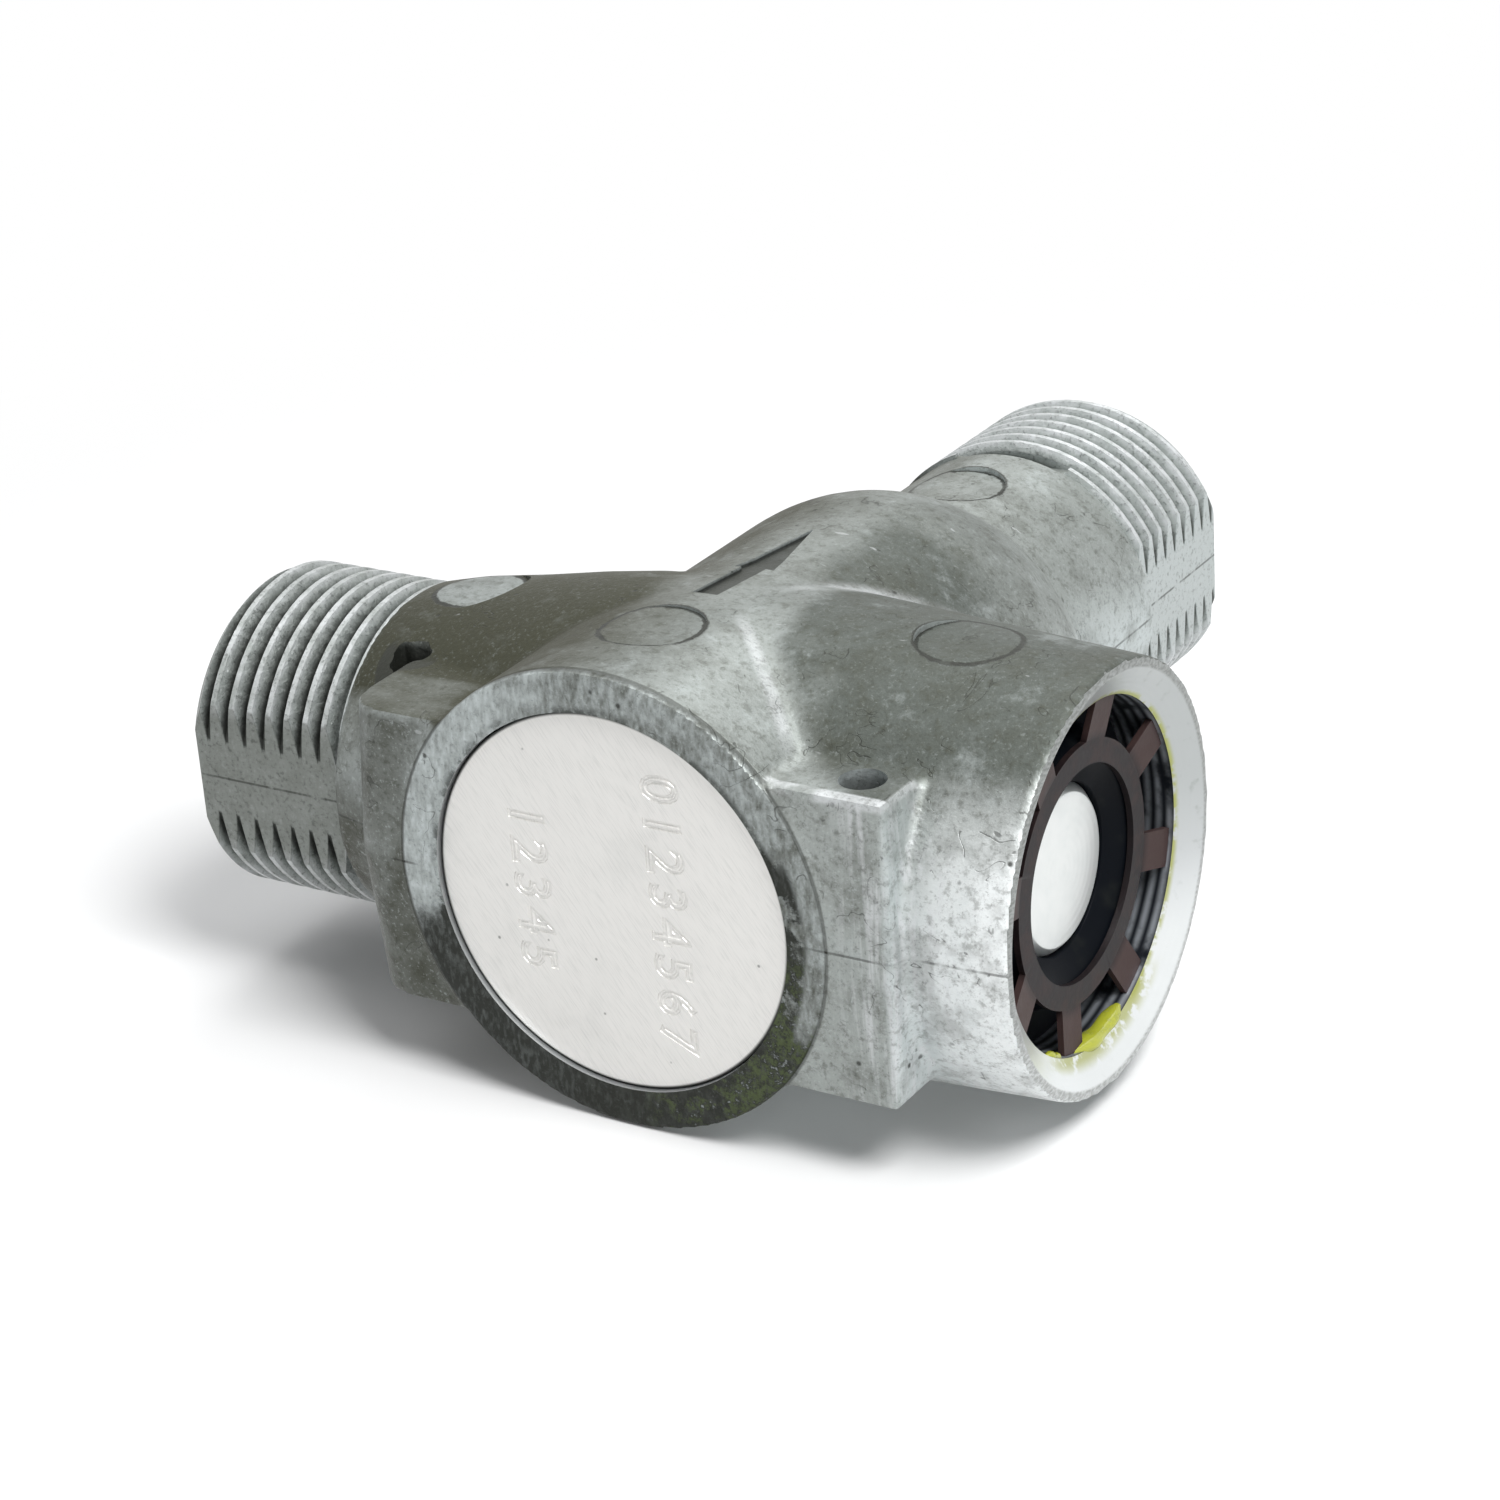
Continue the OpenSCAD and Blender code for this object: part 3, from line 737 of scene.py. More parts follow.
def arrow_cutter(sizes):
    """The flow arrow, cut a little below the barrel's skin."""
    x = ARROW_X
    tail, tip = ARROW_Y
    neck = 5.8
    outline = [
        (x - 1.1, tail), (x + 1.1, tail), (x + 1.1, neck), (x + 1.75, neck), (x, tip), (x - 1.75, neck),
        (x - 1.1, neck),
    ]
    arrow = prism("arrow", outline, 5, 25)
    floor = lathe("arrow_floor", barrel_outline(sizes, 0.4), "Y")
    return combine(arrow, [floor], "DIFFERENCE")


def face_slots(obj):
    """Gives each face of the casting its finish by where it lies."""
    for face in obj.data.polygons:
        middle = (face.center - CENTRE) / MM
        face.material_index = finish_at(middle, face.normal)


def finish_at(middle, normal):
    """The finish of a casting face from its middle and direction."""
    off_x = math.hypot(middle.y, middle.z)
    off_y = math.hypot(middle.x, middle.z)
    if math.hypot(middle.x - CORE_HOLE[0], middle.y - CORE_HOLE[1]) < 2.6 and middle.z > 8:
        return SKIN
    if middle.x < INLET_X + 0.05 or middle.y > OUTLET_Y - 0.05:
        return TURNED
    if middle.x < INLET_X + THREAD_LENGTH + 0.1 and off_x < 13.5:
        return THREAD if off_x > 9.3 else BORE
    if middle.y > OUTLET_Y - THREAD_LENGTH - 0.1 and off_y < 13.5:
        return THREAD if off_y > 9.3 else BORE
    if middle.x > PLUNGER_X - 1.6 and off_x < (16.5 if normal.x > 0.9 else 15.75):
        return TURNED
    mouth = middle.x > 22 and off_x < 13.45
    centre = off_x < 11.2 and abs(middle.y) < 11.2 and abs(middle.z) < 11.2
    pocket = off_y < 15.2 and middle.y < -5 and (abs(normal.y) < 0.5 or off_y < 15)
    flow_bore = off_y < (13.9 if middle.y < 28 else 9.3)
    return BORE if mouth or centre or pocket or flow_bore else SKIN


def crisp_rim(obj):
    """Keeps the shallow corners of the turned faces crisp."""
    bm = bmesh.new()
    bm.from_mesh(obj.data)
    for edge in bm.edges:
        if len(edge.link_faces) == 2 and any(face.material_index == TURNED for face in edge.link_faces):
            edge.smooth = edge.smooth and edge.calc_face_angle() < math.radians(12)
    bm.to_mesh(obj.data)
    bm.free()


def build_casting():
    sizes = Sizes("valve_casting")
    body = cast_skin(sizes)
    body.name = "valve_casting"
    stubs = [
        pipe_thread("inlet", "X", INLET_X, 1),
        pipe_thread("outlet", "Y", OUTLET_Y, -1),
    ]
    combine(body, stubs, "UNION")
    combine(body, bore_cutters(sizes), "DIFFERENCE")
    marks = [
        round_cutter(f"mark_{name}", *place, sizes.mark_r, floor, 25) for name, place, ring, floor in MARKS
    ]
    tools = [
        arrow_cutter(sizes),
        round_cutter("seal_hole", *SEAL_HOLE, 1.75, -20, 20),
        ragged_hole(*CORE_HOLE, 8.6, 20),
        *marks,
        box("relief", (-5.3, 45.3, 11.8), (5.3, 46.5, 20)),
    ]
    combine(body, tools, "DIFFERENCE")
    shade(body, 35)
    give(body, cast_material(), thread_material(), bore_material(), turned_material())
    face_slots(body)
    crisp_rim(body)
    seat(body, "valve_body")


# ---------------------------------------------------------------- the pieces in the ends


def figure_cutter(text, x_mm, depth, height):
    """A row of generic figures as thin strokes standing in the cover disc's face."""
    curve = bpy.data.curves.new("figures", "FONT")
    curve.body = text
    # A figure stands about 1/1.38 of its type size
    curve.size = height * MM * 1.38
    curve.fill_mode = "NONE"
    curve.bevel_depth = depth * MM
    curve.bevel_resolution = 1
    curve.resolution_u = 3
    curve.space_character = 1.3
    curve.align_x = "CENTER"
    curve.align_y = "CENTER"
    flat = add_object("figures", curve)
    graph = bpy.context.evaluated_depsgraph_get()
    mesh = bpy.data.meshes.new_from_object(flat.evaluated_get(graph))
    bpy.data.objects.remove(flat)
    obj = add_object("figure_row", mesh)
    recast(obj, 0.055)
    mesh = obj.data
    face_y = BODY_LOW.y + 0.4 * MM
    place = Matrix.Translation((CENTRE.x + x_mm * MM, face_y, 0))
    upright = Matrix.Rotation(math.radians(90), 4, "X")
    sideways = Matrix.Rotation(math.radians(-90), 4, "Z")
    mesh.transform(place @ upright @ sideways)
    return obj


def build_disc():
    stamp = Sizes("valve_stamp")
    front = COVER_Y + 0.4
    outline = rounded(
        [
            (front, 0), (front, 15.05, 0.25), (COVER_STEP, 15.05), (COVER_STEP, 12.95), (-11.6, 12.95),
            (-11.6, 9.4), (-13.8, 9.4), (-13.8, 0),
        ]
    )
    disc = lathe("cover_plate", outline, "Y", 160)
    for text, x in ((stamp.first_row, 4.9), (stamp.second_row, -7.0)):
        combine(disc, [figure_cutter(text, x, stamp.depth, stamp.height)], "DIFFERENCE")
    shade(disc, 30)
    give(disc, disc_material())
    seat(disc, "cover_disc")


def build_ring():
    mouth = Sizes("valve_mouth")
    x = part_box("retaining_ring")[0].x / MM - CENTRE.x / MM
    tip = mouth.bore_r - 0.04
    hole = mouth.hole_r
    hub = mouth.hub_r
    shell = lathe(
        "prong_ring",
        [(x, hole), (x, hub), (x + 0.5, tip), (x + 1.0, tip), (x + 0.5, hub), (x + 0.5, hole)],
        steps=144,
    )
    back = x - 2
    front = x + 4
    star = make_object("star", rod_mesh(back, front, hub, steps=96))
    half = mouth.prong_w / 2
    # Each bar across the ring makes two of its prongs
    for i in range(4):
        bm = prism_mesh([(back, -16), (front, -16), (front, 16), (back, 16)], -half, half)
        turn = Matrix.Rotation(math.radians(-90) - mouth.prong_turn - i * math.pi / 4, 4, "X")
        bmesh.ops.transform(bm, matrix=turn, verts=bm.verts)
        combine(star, [make_object("prong", bm)], "UNION")
    combine(shell, [star], "INTERSECT")
    sliver = 0.012 * MM
    clean = bmesh.new()
    clean.from_mesh(shell.data)
    bmesh.ops.remove_doubles(clean, verts=clean.verts, dist=sliver)
    bmesh.ops.dissolve_degenerate(clean, edges=clean.edges, dist=sliver)
    clean.to_mesh(shell.data)
    clean.free()
    bevel_edges(shell, 0.09, 35)
    shade(shell, 5)
    give(shell, ring_material())
    seat(shell, "retaining_ring")


def build_plunger():
    mouth = Sizes("valve_mouth")
    low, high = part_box("plunger")
    start = (low.x - CENTRE.x) / MM
    face = (high.x - CENTRE.x) / MM
    r = mouth.plunger_r
    outline = rounded(
        [
            (start, 2.5), (start, 9, 0.15), (start + 1.45, 9, 0.15), (start + 1.45, r),
            (face - 0.67, r, 0.25), (face, mouth.plunger_face_r, 0.2), (face, 0), (start + 4, 0),
            (start + 4, 2.5),
        ]
    )
    plunger = lathe("push_plunger", outline)
    shade(plunger, 25)
    give(plunger, plunger_material())
    seat(plunger, "plunger", "plunger_set")


def build_bush():
    low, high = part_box("guide_bush")
    start = (low.x - CENTRE.x) / MM
    front = (high.x - CENTRE.x) / MM
    r = Sizes("valve_mouth").plunger_r + 0.06
    outer = 13.36
    inner = 9.3
    ring_groove = 11.9
    seal_groove = 8.1
    outline = rounded(
        [
            (start, inner), (start, 10.96, 0.2), (BUSH_STEP, 10.96), (BUSH_STEP, outer), (23.8, outer),
            (23.8, ring_groove), (25.6, ring_groove), (25.6, outer), (front - 2.5, outer, 0.3),
            (front - 2.5, 10.8, 0.4), (front, 9.8, 0.3), (front, 8.5, 0.2), (front - 1.2, r, 0.1),
            (26.2, r), (26.2, seal_groove), (24.2, seal_groove), (24.2, r), (22.3, r), (22.3, inner),
            (8.85, inner), (8.85, 10), (7.8, 10), (7.8, inner),
        ]
    )
    bush = lathe("plunger_bush", outline)
    shade(bush, 28)
    give(bush, bush_material())
    seat(bush, "guide_bush")


def build_spring(node):
    """A wire spring copied from its CAD node's mesh."""
    wire = bmesh.new()
    wire.from_mesh(frame["nodes"][node].data)
    bmesh.ops.remove_doubles(wire, verts=wire.verts, dist=1e-6)
    spring = add_object(node + "_wire", new_mesh(node + "_wire", wire))
    shade(spring, 60)
    give(spring, plain_finish(node + "_steel", colours().steel, 0.22, 0.95))
    seat(spring, node)
    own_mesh(spring)


def lacquer_mesh(begin, end, thick, wide):
    """A bead round the mouth between two clock angles, thin at its ends and lumpy between."""
    x = PLUNGER_X - 2.05
    radius = 13.5 - 0.2 * thick
    bm = bmesh.new()
    verts = []
    count = 12
    for k in range(count):
        a = math.tau * k / count
        verts.append(bm.verts.new((x + wide * math.cos(a), 0, radius + thick * math.sin(a))))
    turn = Matrix.Rotation(math.radians(-begin), 3, "X")
    bmesh.ops.rotate(bm, cent=(0, 0, 0), matrix=turn, verts=verts)
    spun_face(bm, verts, axis=(-1, 0, 0), angle=math.radians(end - begin), steps=48)
    for vert in bm.verts:
        clock = math.degrees(math.atan2(vert.co.y, vert.co.z))
        angle = math.radians(clock)
        along = (clock - begin) % 360
        # Rounding can put the first ring just below the begin angle
        share = min(along / (end - begin), 1) if along < 300 else 0
        swell = 0.22 + 0.78 * math.sin(math.pi * share) ** 0.7 * (1 + 0.22 * math.sin(11 * share))
        spine = Vector((x, radius * math.sin(angle), radius * math.cos(angle)))
        vert.co = spine.lerp(vert.co, swell)
    bmesh.ops.recalc_face_normals(bm, faces=bm.faces)
    return bm


def build_lacquer():
    """Sealing lacquer: a thin bead at the top of the mouth and a heavy run at its lower right."""
    # Clock angles from the top, seen from the plunger end, then thickness and width
    beads = ((161, 195, 0.62, 0.95), (203, 214, 0.45, 0.45), (-14, 36, 0.16, 0.24))
    for number, bead_sizes in enumerate(beads, 1):
        bead = make_object(f"lacquer_bead_{number}", lacquer_mesh(*bead_sizes))
        recast(bead, 0.12, 8)
        shade(bead, 60)
        give(bead, lacquer_material())
        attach(bead, "housing")


# ---------------------------------------------------------------- finishes


class CastPlaces:
    """Places and masks that the parts of the cast finish share."""

    def __init__(self, m):
        x, y, z = m.axes()
        self.parts = (x, y, z, 0 - y, m.facing()[2])
        self.large = m.noise(11, 3)
        self.middle = m.noise(3.2, 3)
        self.off_flow = far(x, z)
        self.inlet_side = (x + (self.large - 0.5) * 7).ramp(1, -13)
        self.stain = (self.parts[4] + (self.large - 0.5) * 0.45).ramp(0.1, 0.95)


def cast_film(p):
    """How much of the stain each part of the body keeps."""
    x, y, z, front, up = p.parts
    hollow = x.ramp(2, 6) * x.ramp(17, 12) * front.ramp(-1, 4)
    plunger_barrel = (x - abs(y)).ramp(0.5, 4) * x.ramp(6, 9)
    boss_top = z.ramp(12.5, 12.2) * z.ramp(11.2, 11.5) * x.ramp(8, 10) * front.ramp(11, 13)
    film = p.inlet_side * 0.8 + plunger_barrel * (up.ramp(0.3, 0.78) * 0.9 - 0.32)
    film = film + y.ramp(12, 20) * 0.12 - y.ramp(26, 34) * 0.25
    film = film + x.ramp(1, 6) * y.ramp(4, 9) * y.ramp(22, 16) * 0.5 - abs(x + 1).ramp(7, 3) * 0.1
    film = film + front.ramp(1, 7) * x.ramp(7, 0) * (1 - p.inlet_side) * 0.22
    film = film - x.ramp(-12, -16) * front.ramp(9, 12) * 0.55
    return film - hollow * 0.24 - boss_top * 0.24 + 0.5


def weathered(m, c, p):
    """The cast metal with its stain above and chalk below, painted shade on the plunger boss's front and
    on the inlet side's side and lower faces, and a painted highlight beside the plunger end.
    """
    x, y, z, front, up = p.parts
    tone = m.blend(c.stain, c.film, x.ramp(-4, 4))
    base = m.blend(c.cast, tone, (p.stain * cast_film(p) * (p.middle * 0.5 + 0.85)).clamp())
    chalk = (1 - up.ramp(-0.1, 0.55)) * (p.large.ramp(0.3, 0.55) * 0.5 + 0.5)
    # Painted shade: the plunger boss's front face keeps less chalk, so it is darker.
    boss_front_painted_shade = x.ramp(12, 15) * x.ramp(23.4, 22.6) * front.ramp(15, 16.5)
    base = m.blend(base, c.chalk, chalk * (0.95 - boss_front_painted_shade))
    # Painted shade: the stain colour laid on the inlet side's faces that do not face up.
    inlet_side_painted_shade = p.inlet_side * (1 - up.ramp(-0.1, 0.5)) * (p.middle * 0.5 + 0.64)
    base = m.blend(base, c.stain, inlet_side_painted_shade.clamp())
    # Painted highlight on the plunger barrel's front sides that do not face up, near its end.
    plunger_side_painted_highlight = (x.ramp(23, 27) * 0.7 + x.ramp(28, 30.5) * 0.34) * (1 - up.ramp(0.3, 0.8))
    return m.blend(base, c.bloom, plunger_side_painted_highlight * front.ramp(2, 8))


def burnished_corner(m, p):
    """Rubbed streaks on the corner of the plunger boss."""
    x, y, z, front, up = p.parts
    streaks = m.noise(0.9, 3, vector=m.stretch(1.6, 1.6, 0.1))
    corner = x.ramp(18, 21.5) * x.ramp(29, 25) * front.ramp(10, 14)
    return corner * (1 - up.ramp(0.3, 0.7)) * streaks.ramp(0.42, 0.72)


def painted_edge_highlights(m, c, p, base):
    """Painted highlights in the creases between the barrels, and a painted highlight with rubbed wear on
    the plunger boss's top edge.
    """
    x, y, z, front, up = p.parts
    off_crease = abs(x - abs(y))
    front_crease = off_crease.ramp(1.2, 0.1) * x.ramp(14, 12) * front.ramp(0, 1)
    back_crease = off_crease.ramp(3, 0.3) * x.ramp(19, 15) * y.ramp(0, 1) * 1.2
    crease = (front_crease + back_crease) * x.ramp(3, 6) * up.ramp(0.05, 0.4)
    base = m.blend(base, c.turned, (crease * p.middle.ramp(0.25, 0.6) * 0.55).clamp())
    outer_edge = (x.ramp(22.8, 23.2) + front.ramp(16.6, 16.9)).clamp()
    brink = z.ramp(11.2, 11.6) * z.ramp(12.4, 12.1) * outer_edge
    brink = brink * x.ramp(9, 11) * x.ramp(24.8, 24.5) * front.ramp(12.6, 13.4)
    return m.blend(base, c.turned, brink * p.middle.ramp(0.3, 0.5) * 0.7)


def cover_rim(m, c, p, base):
    """The flat rim round the cover disc: scraped bright above, dark with dirt and moss below.

    Gives the colour, the rim's mask, its dirty part and its surface height.
    """
    x, y, z, front, up = p.parts
    off_flow = p.off_flow
    rim = front.ramp(17.62, 17.8) * off_flow.ramp(14.9, 15.0) * off_flow.ramp(18.34, 18.24)
    scrape = m.noise(0.8, 5, vector=m.stretch(1.8, 1, 0.7))
    clumps = m.noise(2.4, 7, 0.7)
    bright = scrape.ramp(0.2, 0.8) * 0.42 + clumps.ramp(0.3, 0.7) * 0.3 + x.ramp(0, -12) * 0.3 + 0.04
    base = m.blend(base, m.blend(c.stain, c.chalk, bright.clamp()), rim)
    low = ((clumps - 0.5) * 9 - z - x.ramp(8, 14) * 3.5).ramp(2, 6)
    spread = off_flow.ramp(17, 16.3) * x.ramp(6, 10) * z.ramp(8, 5) * clumps.ramp(0.38, 0.5)
    dirt = (low + spread + off_flow.ramp(15.9, 15.2) * clumps.ramp(0.42, 0.55) * 0.8).clamp()
    soiled = rim * dirt
    cover = scrape.ramp(0.3, 0.55) * 0.2 + clumps.ramp(0.3, 0.45) * 0.14 + 0.64
    base = m.blend(base, c.grime, soiled * cover)
    moss = soiled * x.ramp(1, 5) * z.ramp(1, -4) * clumps.ramp(0.44, 0.54)
    grains = m.noise(0.5, 4, 0.7)
    base = m.blend(base, c.moss, moss * grains.ramp(0.4, 0.6) * 0.85)
    base = m.blend(base, c.chalk, moss * grains.ramp(0.42, 0.32) * 0.45)
    return base, rim, soiled, (scrape + moss) * rim * 0.9


def dark_marks(m, p, speckle, top):
    """Pits, the parting line, the thin rings round the ejector marks, a painted shadow line round the
    cover rim's outer edge and painted shade in the recesses.
    """
    x, y, z, front, up = p.parts
    pits = m.cells(2.2).ramp(0.13, 0.04) * p.large.ramp(0.5, 0.6)
    # Painted shadow line along the cover rim's outer edge.
    rim_edge_painted_shadow = abs(p.off_flow - 18.32).ramp(0.22, 0.06) * front.ramp(17.3, 17.5)
    dark = pits + rim_edge_painted_shadow * 0.7 + parting_line(x, y, z, p.middle) + painted_recess_shade(m, x, y, z, p.off_flow)
    for name, place, ring_r, floor in MARKS:
        away = far(x - place[0], y - place[1]) + (speckle - 0.5) * 0.7
        ring = abs(away - ring_r).ramp(0.3, 0.12) * (p.middle.ramp(0.3, 0.5) * 0.6 + 0.6)
        dark = dark + ring * top
    return dark


def cast_material():
    """Weathered die-cast alloy: stained above, chalky below, pitted, burnished on its corners, with
    painted shade and painted highlights.
    """
    c = colours()
    m = Maker("cast_skin")
    p = CastPlaces(m)
    x, y, z, front, up = p.parts
    base = weathered(m, c, p)
    burnished = burnished_corner(m, p)
    base = m.blend(base, c.turned, burnished * 0.75)
    base = painted_edge_highlights(m, c, p, base)
    base, rim, soiled, rim_height = cover_rim(m, c, p, base)
    clear = 1 - rim
    speckle = m.noise(0.8, 5, 0.7)
    top = up.ramp(0.5, 0.7) * z.ramp(9, 11)
    dark = dark_marks(m, p, speckle, top)
    mark_face = far(x - INLET_MARK[0], y - INLET_MARK[1]).ramp(3.8, 3.4) * top
    base = m.blend(base, c.chalk, mark_face * 0.4)
    blotch = m.noise(4.5, 6, 0.68)
    base = m.blend(base, c.stain, blotch.ramp(0.46, 0.66) * 0.34 * clear)
    base = m.blend(base, c.chalk, blotch.ramp(0.46, 0.3) * (0.22 - p.inlet_side * 0.14) * clear)
    grit = m.noise(0.35, 4, 0.75)
    base = m.blend(base, c.stain, speckle.ramp(0.5, 0.68) * 0.4 * clear)
    base = m.blend(base, c.grime, grit.ramp(0.54, 0.68) * 0.34)
    base = m.blend(base, c.chalk, grit.ramp(0.46, 0.3) * (0.34 - p.stain * 0.22) * (1 - soiled * 0.85))
    hairs = abs(m.noise(7, 3, 0.6, distortion=0.6) - 0.5).ramp(0.005, 0.001) * blotch.ramp(0.5, 0.54)
    glints = m.noise(1.6, 3, 0.6, m.stretch(0.35, 1.3, 1)).ramp(0.7, 0.73) * clear
    base = m.blend(base, c.turned, glints * 0.3)
    base = m.blend(base, c.grime, hairs * 0.55)
    base = m.blend(base, c.grime, (dark * 0.85).clamp())
    roughness = (p.middle * 0.16 + 0.36 + p.stain * 0.1 - burnished * 0.14 + soiled * 0.3).clamp()
    height = p.middle * 0.7 + m.noise(0.45, 3) * 0.6 + speckle * 0.7 + blotch * 0.5 + grit * 0.4
    height = height - hairs * 0.5 - dark * 0.8 + rim_height
    return m.finish(base, roughness, 0.6, m.bump(height, 0.11, 0.6))


def parting_line(x, y, z, wear):
    """The faint line that the two mould halves leave."""
    band = abs(z).ramp(0.14, 0.05)
    outer = (abs(x).ramp(16, 18) + y.ramp(22, 24)).clamp()
    return band * outer * wear.ramp(0.35, 0.55) * 0.7


def painted_recess_shade(m, x, y, z, off_flow):
    """Painted shade on the floor of the arrow and in the core and seal holes."""
    barrel_r = 18.3 - m.add("ShaderNodeMapRange", {}, (y, -6.0, 8.0, 0.0, 1.1))
    arrow = (barrel_r - off_flow).ramp(0.15, 0.3) * abs(x - ARROW_X).ramp(2.3, 2.0)
    arrow = arrow * y.ramp(ARROW_Y[0] - 0.6, ARROW_Y[0] - 0.2) * y.ramp(ARROW_Y[1] + 0.5, ARROW_Y[1] + 0.1)
    arrow = arrow * z.ramp(14, 15)
    hole = far(x - CORE_HOLE[0], y - CORE_HOLE[1]).ramp(3.1, 2.7) * z.ramp(12.6, 11.6)
    seal = far(x - SEAL_HOLE[0], y - SEAL_HOLE[1]).ramp(1.95, 1.85) * z.ramp(11.8, 10.6)
    return (arrow + hole * 1.3 + seal * 0.7).clamp()


def thread_material():
    """Cast thread: painted highlights on the crests, darker in the grooves."""
    c = colours()
    m = Maker("pipe_thread")
    x, y, z = m.axes()
    on_inlet = x.ramp(-27.5, -29.5)
    on_outlet = 1 - on_inlet
    outlet_end = y.ramp(40, 46)
    radius = far(y, z) * on_inlet + far(x, z) * on_outlet
    flat = abs(y * on_inlet + x * on_outlet).ramp(11.6, 11.69)
    wear = m.noise(2.0, 4)
    high = (radius.ramp(12.15, 12.95) + flat * abs(z).ramp(6.4, 5.8)).clamp()
    base = m.blend(c.grime, c.cast, (high * 0.92 + 0.05 + wear * 0.12 + outlet_end * 0.2).clamp())
    base = m.blend(base, c.chalk, outlet_end * high * 0.3)
    # Painted highlight on the crests.
    crests = radius.ramp(12.7, 13.15) * wear.ramp(0.25, 0.7) * (outlet_end * 0.3 + 0.7)
    base = m.blend(base, c.turned, crests)
    base = m.blend(base, c.stain, flat * on_inlet * (wear * 0.4 + 0.25))
    base = m.blend(base, c.chalk, flat * on_outlet * 0.5)
    grit = m.noise(0.4, 4, 0.75)
    base = m.blend(base, c.grime, grit.ramp(0.52, 0.66) * 0.45)
    base = m.blend(base, c.turned, grit.ramp(0.45, 0.32) * (high - flat * 0.7) * 0.4)
    base = m.blend(base, c.grime, parting_line(x, y, z, wear))
    return m.finish(base, 0.48 - high * 0.14, 0.65, m.bump(wear + grit * 0.9, 0.13, 0.7))


def bore_material():
    """Machined bores, with fine tool marks and a little dirt; the mouth's wall has painted shade with
    bands of painted reflection.
    """
    c = colours()
    m = Maker("machined_bore")
    dirt = m.noise(3, 4)
    base = m.blend(c.turned, c.stain, dirt.ramp(0.4, 0.9) * 0.35)
    x, y, z = m.axes()
    bands = (x * 7).math("SINE") * 0.5 + 0.5
    # Painted shade and painted reflections on the mouth's wall, in bands along the turning grooves.
    wall = m.blend(c.shadow, c.glint, bands * dirt.ramp(0.3, 0.55))
    base = m.blend(base, wall, x.ramp(21, 23) * far(y, z).ramp(14.5, 14.0))
    marks = m.noise(0.25, 2)
    return m.finish(base, 0.34 + dirt * 0.16, 0.85, m.bump(marks, 0.02, 0.4))


def turned_material():
    """The freshly turned rim of the plunger end, with rings from the tool, painted shade on its upper part
    and a painted highlight on its lower part.
    """
    c = colours()
    m = Maker("turned_rim")
    x, y, z = m.axes()
    radius = far(y, z)
    rings = (radius * 14).math("SINE") * 0.5 + 0.5
    chips = m.noise(1.1, 4)
    base = m.blend(c.turned, c.cast, chips.ramp(0.58, 0.75) * 0.5)
    # Painted shade: darker towards the top.
    base = m.blend(base, c.cast, z.ramp(-8, 3) * 0.44 + 0.06)
    # Painted highlight on the lower part.
    base = m.blend(base, c.bloom, z.ramp(-3, -10) * 0.8)
    hatch = m.noise(0.5, 3, vector=m.stretch(0.6, 1, 2.2))
    on_rim = x.ramp(30, 31) * radius.ramp(15.45, 15.7)
    base = m.blend(base, c.stain, on_rim * (hatch.ramp(0.3, 0.7) * 0.35 + 0.25))
    edge = radius.ramp(13.85, 13.45) * (y + z * 0.6).ramp(-4, 3) * chips.ramp(0.35, 0.5)
    film = z.ramp(-10.5, -12.5) * radius.ramp(14.7, 13.7) * chips.ramp(0.36, 0.5)
    base = m.blend(base, c.lacquer, ((edge * 0.75 + film * 0.7) * x.ramp(28, 29)).clamp())
    return m.finish(base, 0.28 + chips * 0.12, 0.9, m.bump(rings, 0.01, 0.4))


def disc_material():
    """Bright brushed plate with fine diagonal scratches and painted shade round its edge."""
    c = colours()
    m = Maker("brushed_disc")
    x, y, z = m.axes()
    slant = m.combine(x * 0.8 + z * 0.6, y, z * 0.8 - x * 0.6)
    brush = m.noise(0.5, 3, vector=m.stretch(5, 1, 0.3, slant))
    smear = m.noise(6, 4)
    base = m.blend(c.disc, c.cast, (brush.ramp(0.45, 0.75) * 0.2 + smear.ramp(0.5, 0.8) * 0.14).clamp())
    specks = m.cells(2.6).ramp(0.07, 0.03) * smear.ramp(0.45, 0.55)
    base = m.blend(base, c.grime, specks * 0.6)
    # Painted shade round the disc's edge, where it meets its pocket.
    edge = far(x, z).ramp(14.7, 14.95)
    base = m.blend(base, c.grime, edge * 0.94)
    return m.finish(base, 0.34 + brush * 0.12, 0.6, m.bump(brush, 0.008, 0.4))


def ring_material():
    """Purple-brown oxide with worn tips."""
    c = colours()
    m = Maker("ring_oxide")
    x, y, z = m.axes()
    radius = far(y, z)
    patches = m.noise(1.3, 4)
    hub = m.blend(c.hub, c.ring, patches.ramp(0.4, 0.7) * 0.45)
    base = m.blend(hub, c.ring, radius.ramp(9.8, 11))
    base = m.blend(base, c.hub, radius.ramp(8.4, 8.28) * 0.85)
    surface = m.bump(m.noise(0.4), 0.03, 0.4)
    return m.finish(base, 0.34 + patches * 0.2, 0.2, surface, specular_ior_level=0.16)


def bush_material():
    c = colours()
    m = Maker("bush_black")
    smear = m.noise(2.5, 3)
    base = m.blend(c.bush, c.grime, smear.ramp(0.5, 0.8) * 0.25)
    surface = m.bump(m.noise(0.7), 0.02, 0.3)
    return m.finish(base, 0.3 + smear * 0.2, 0.0, surface, specular_ior_level=0.05)


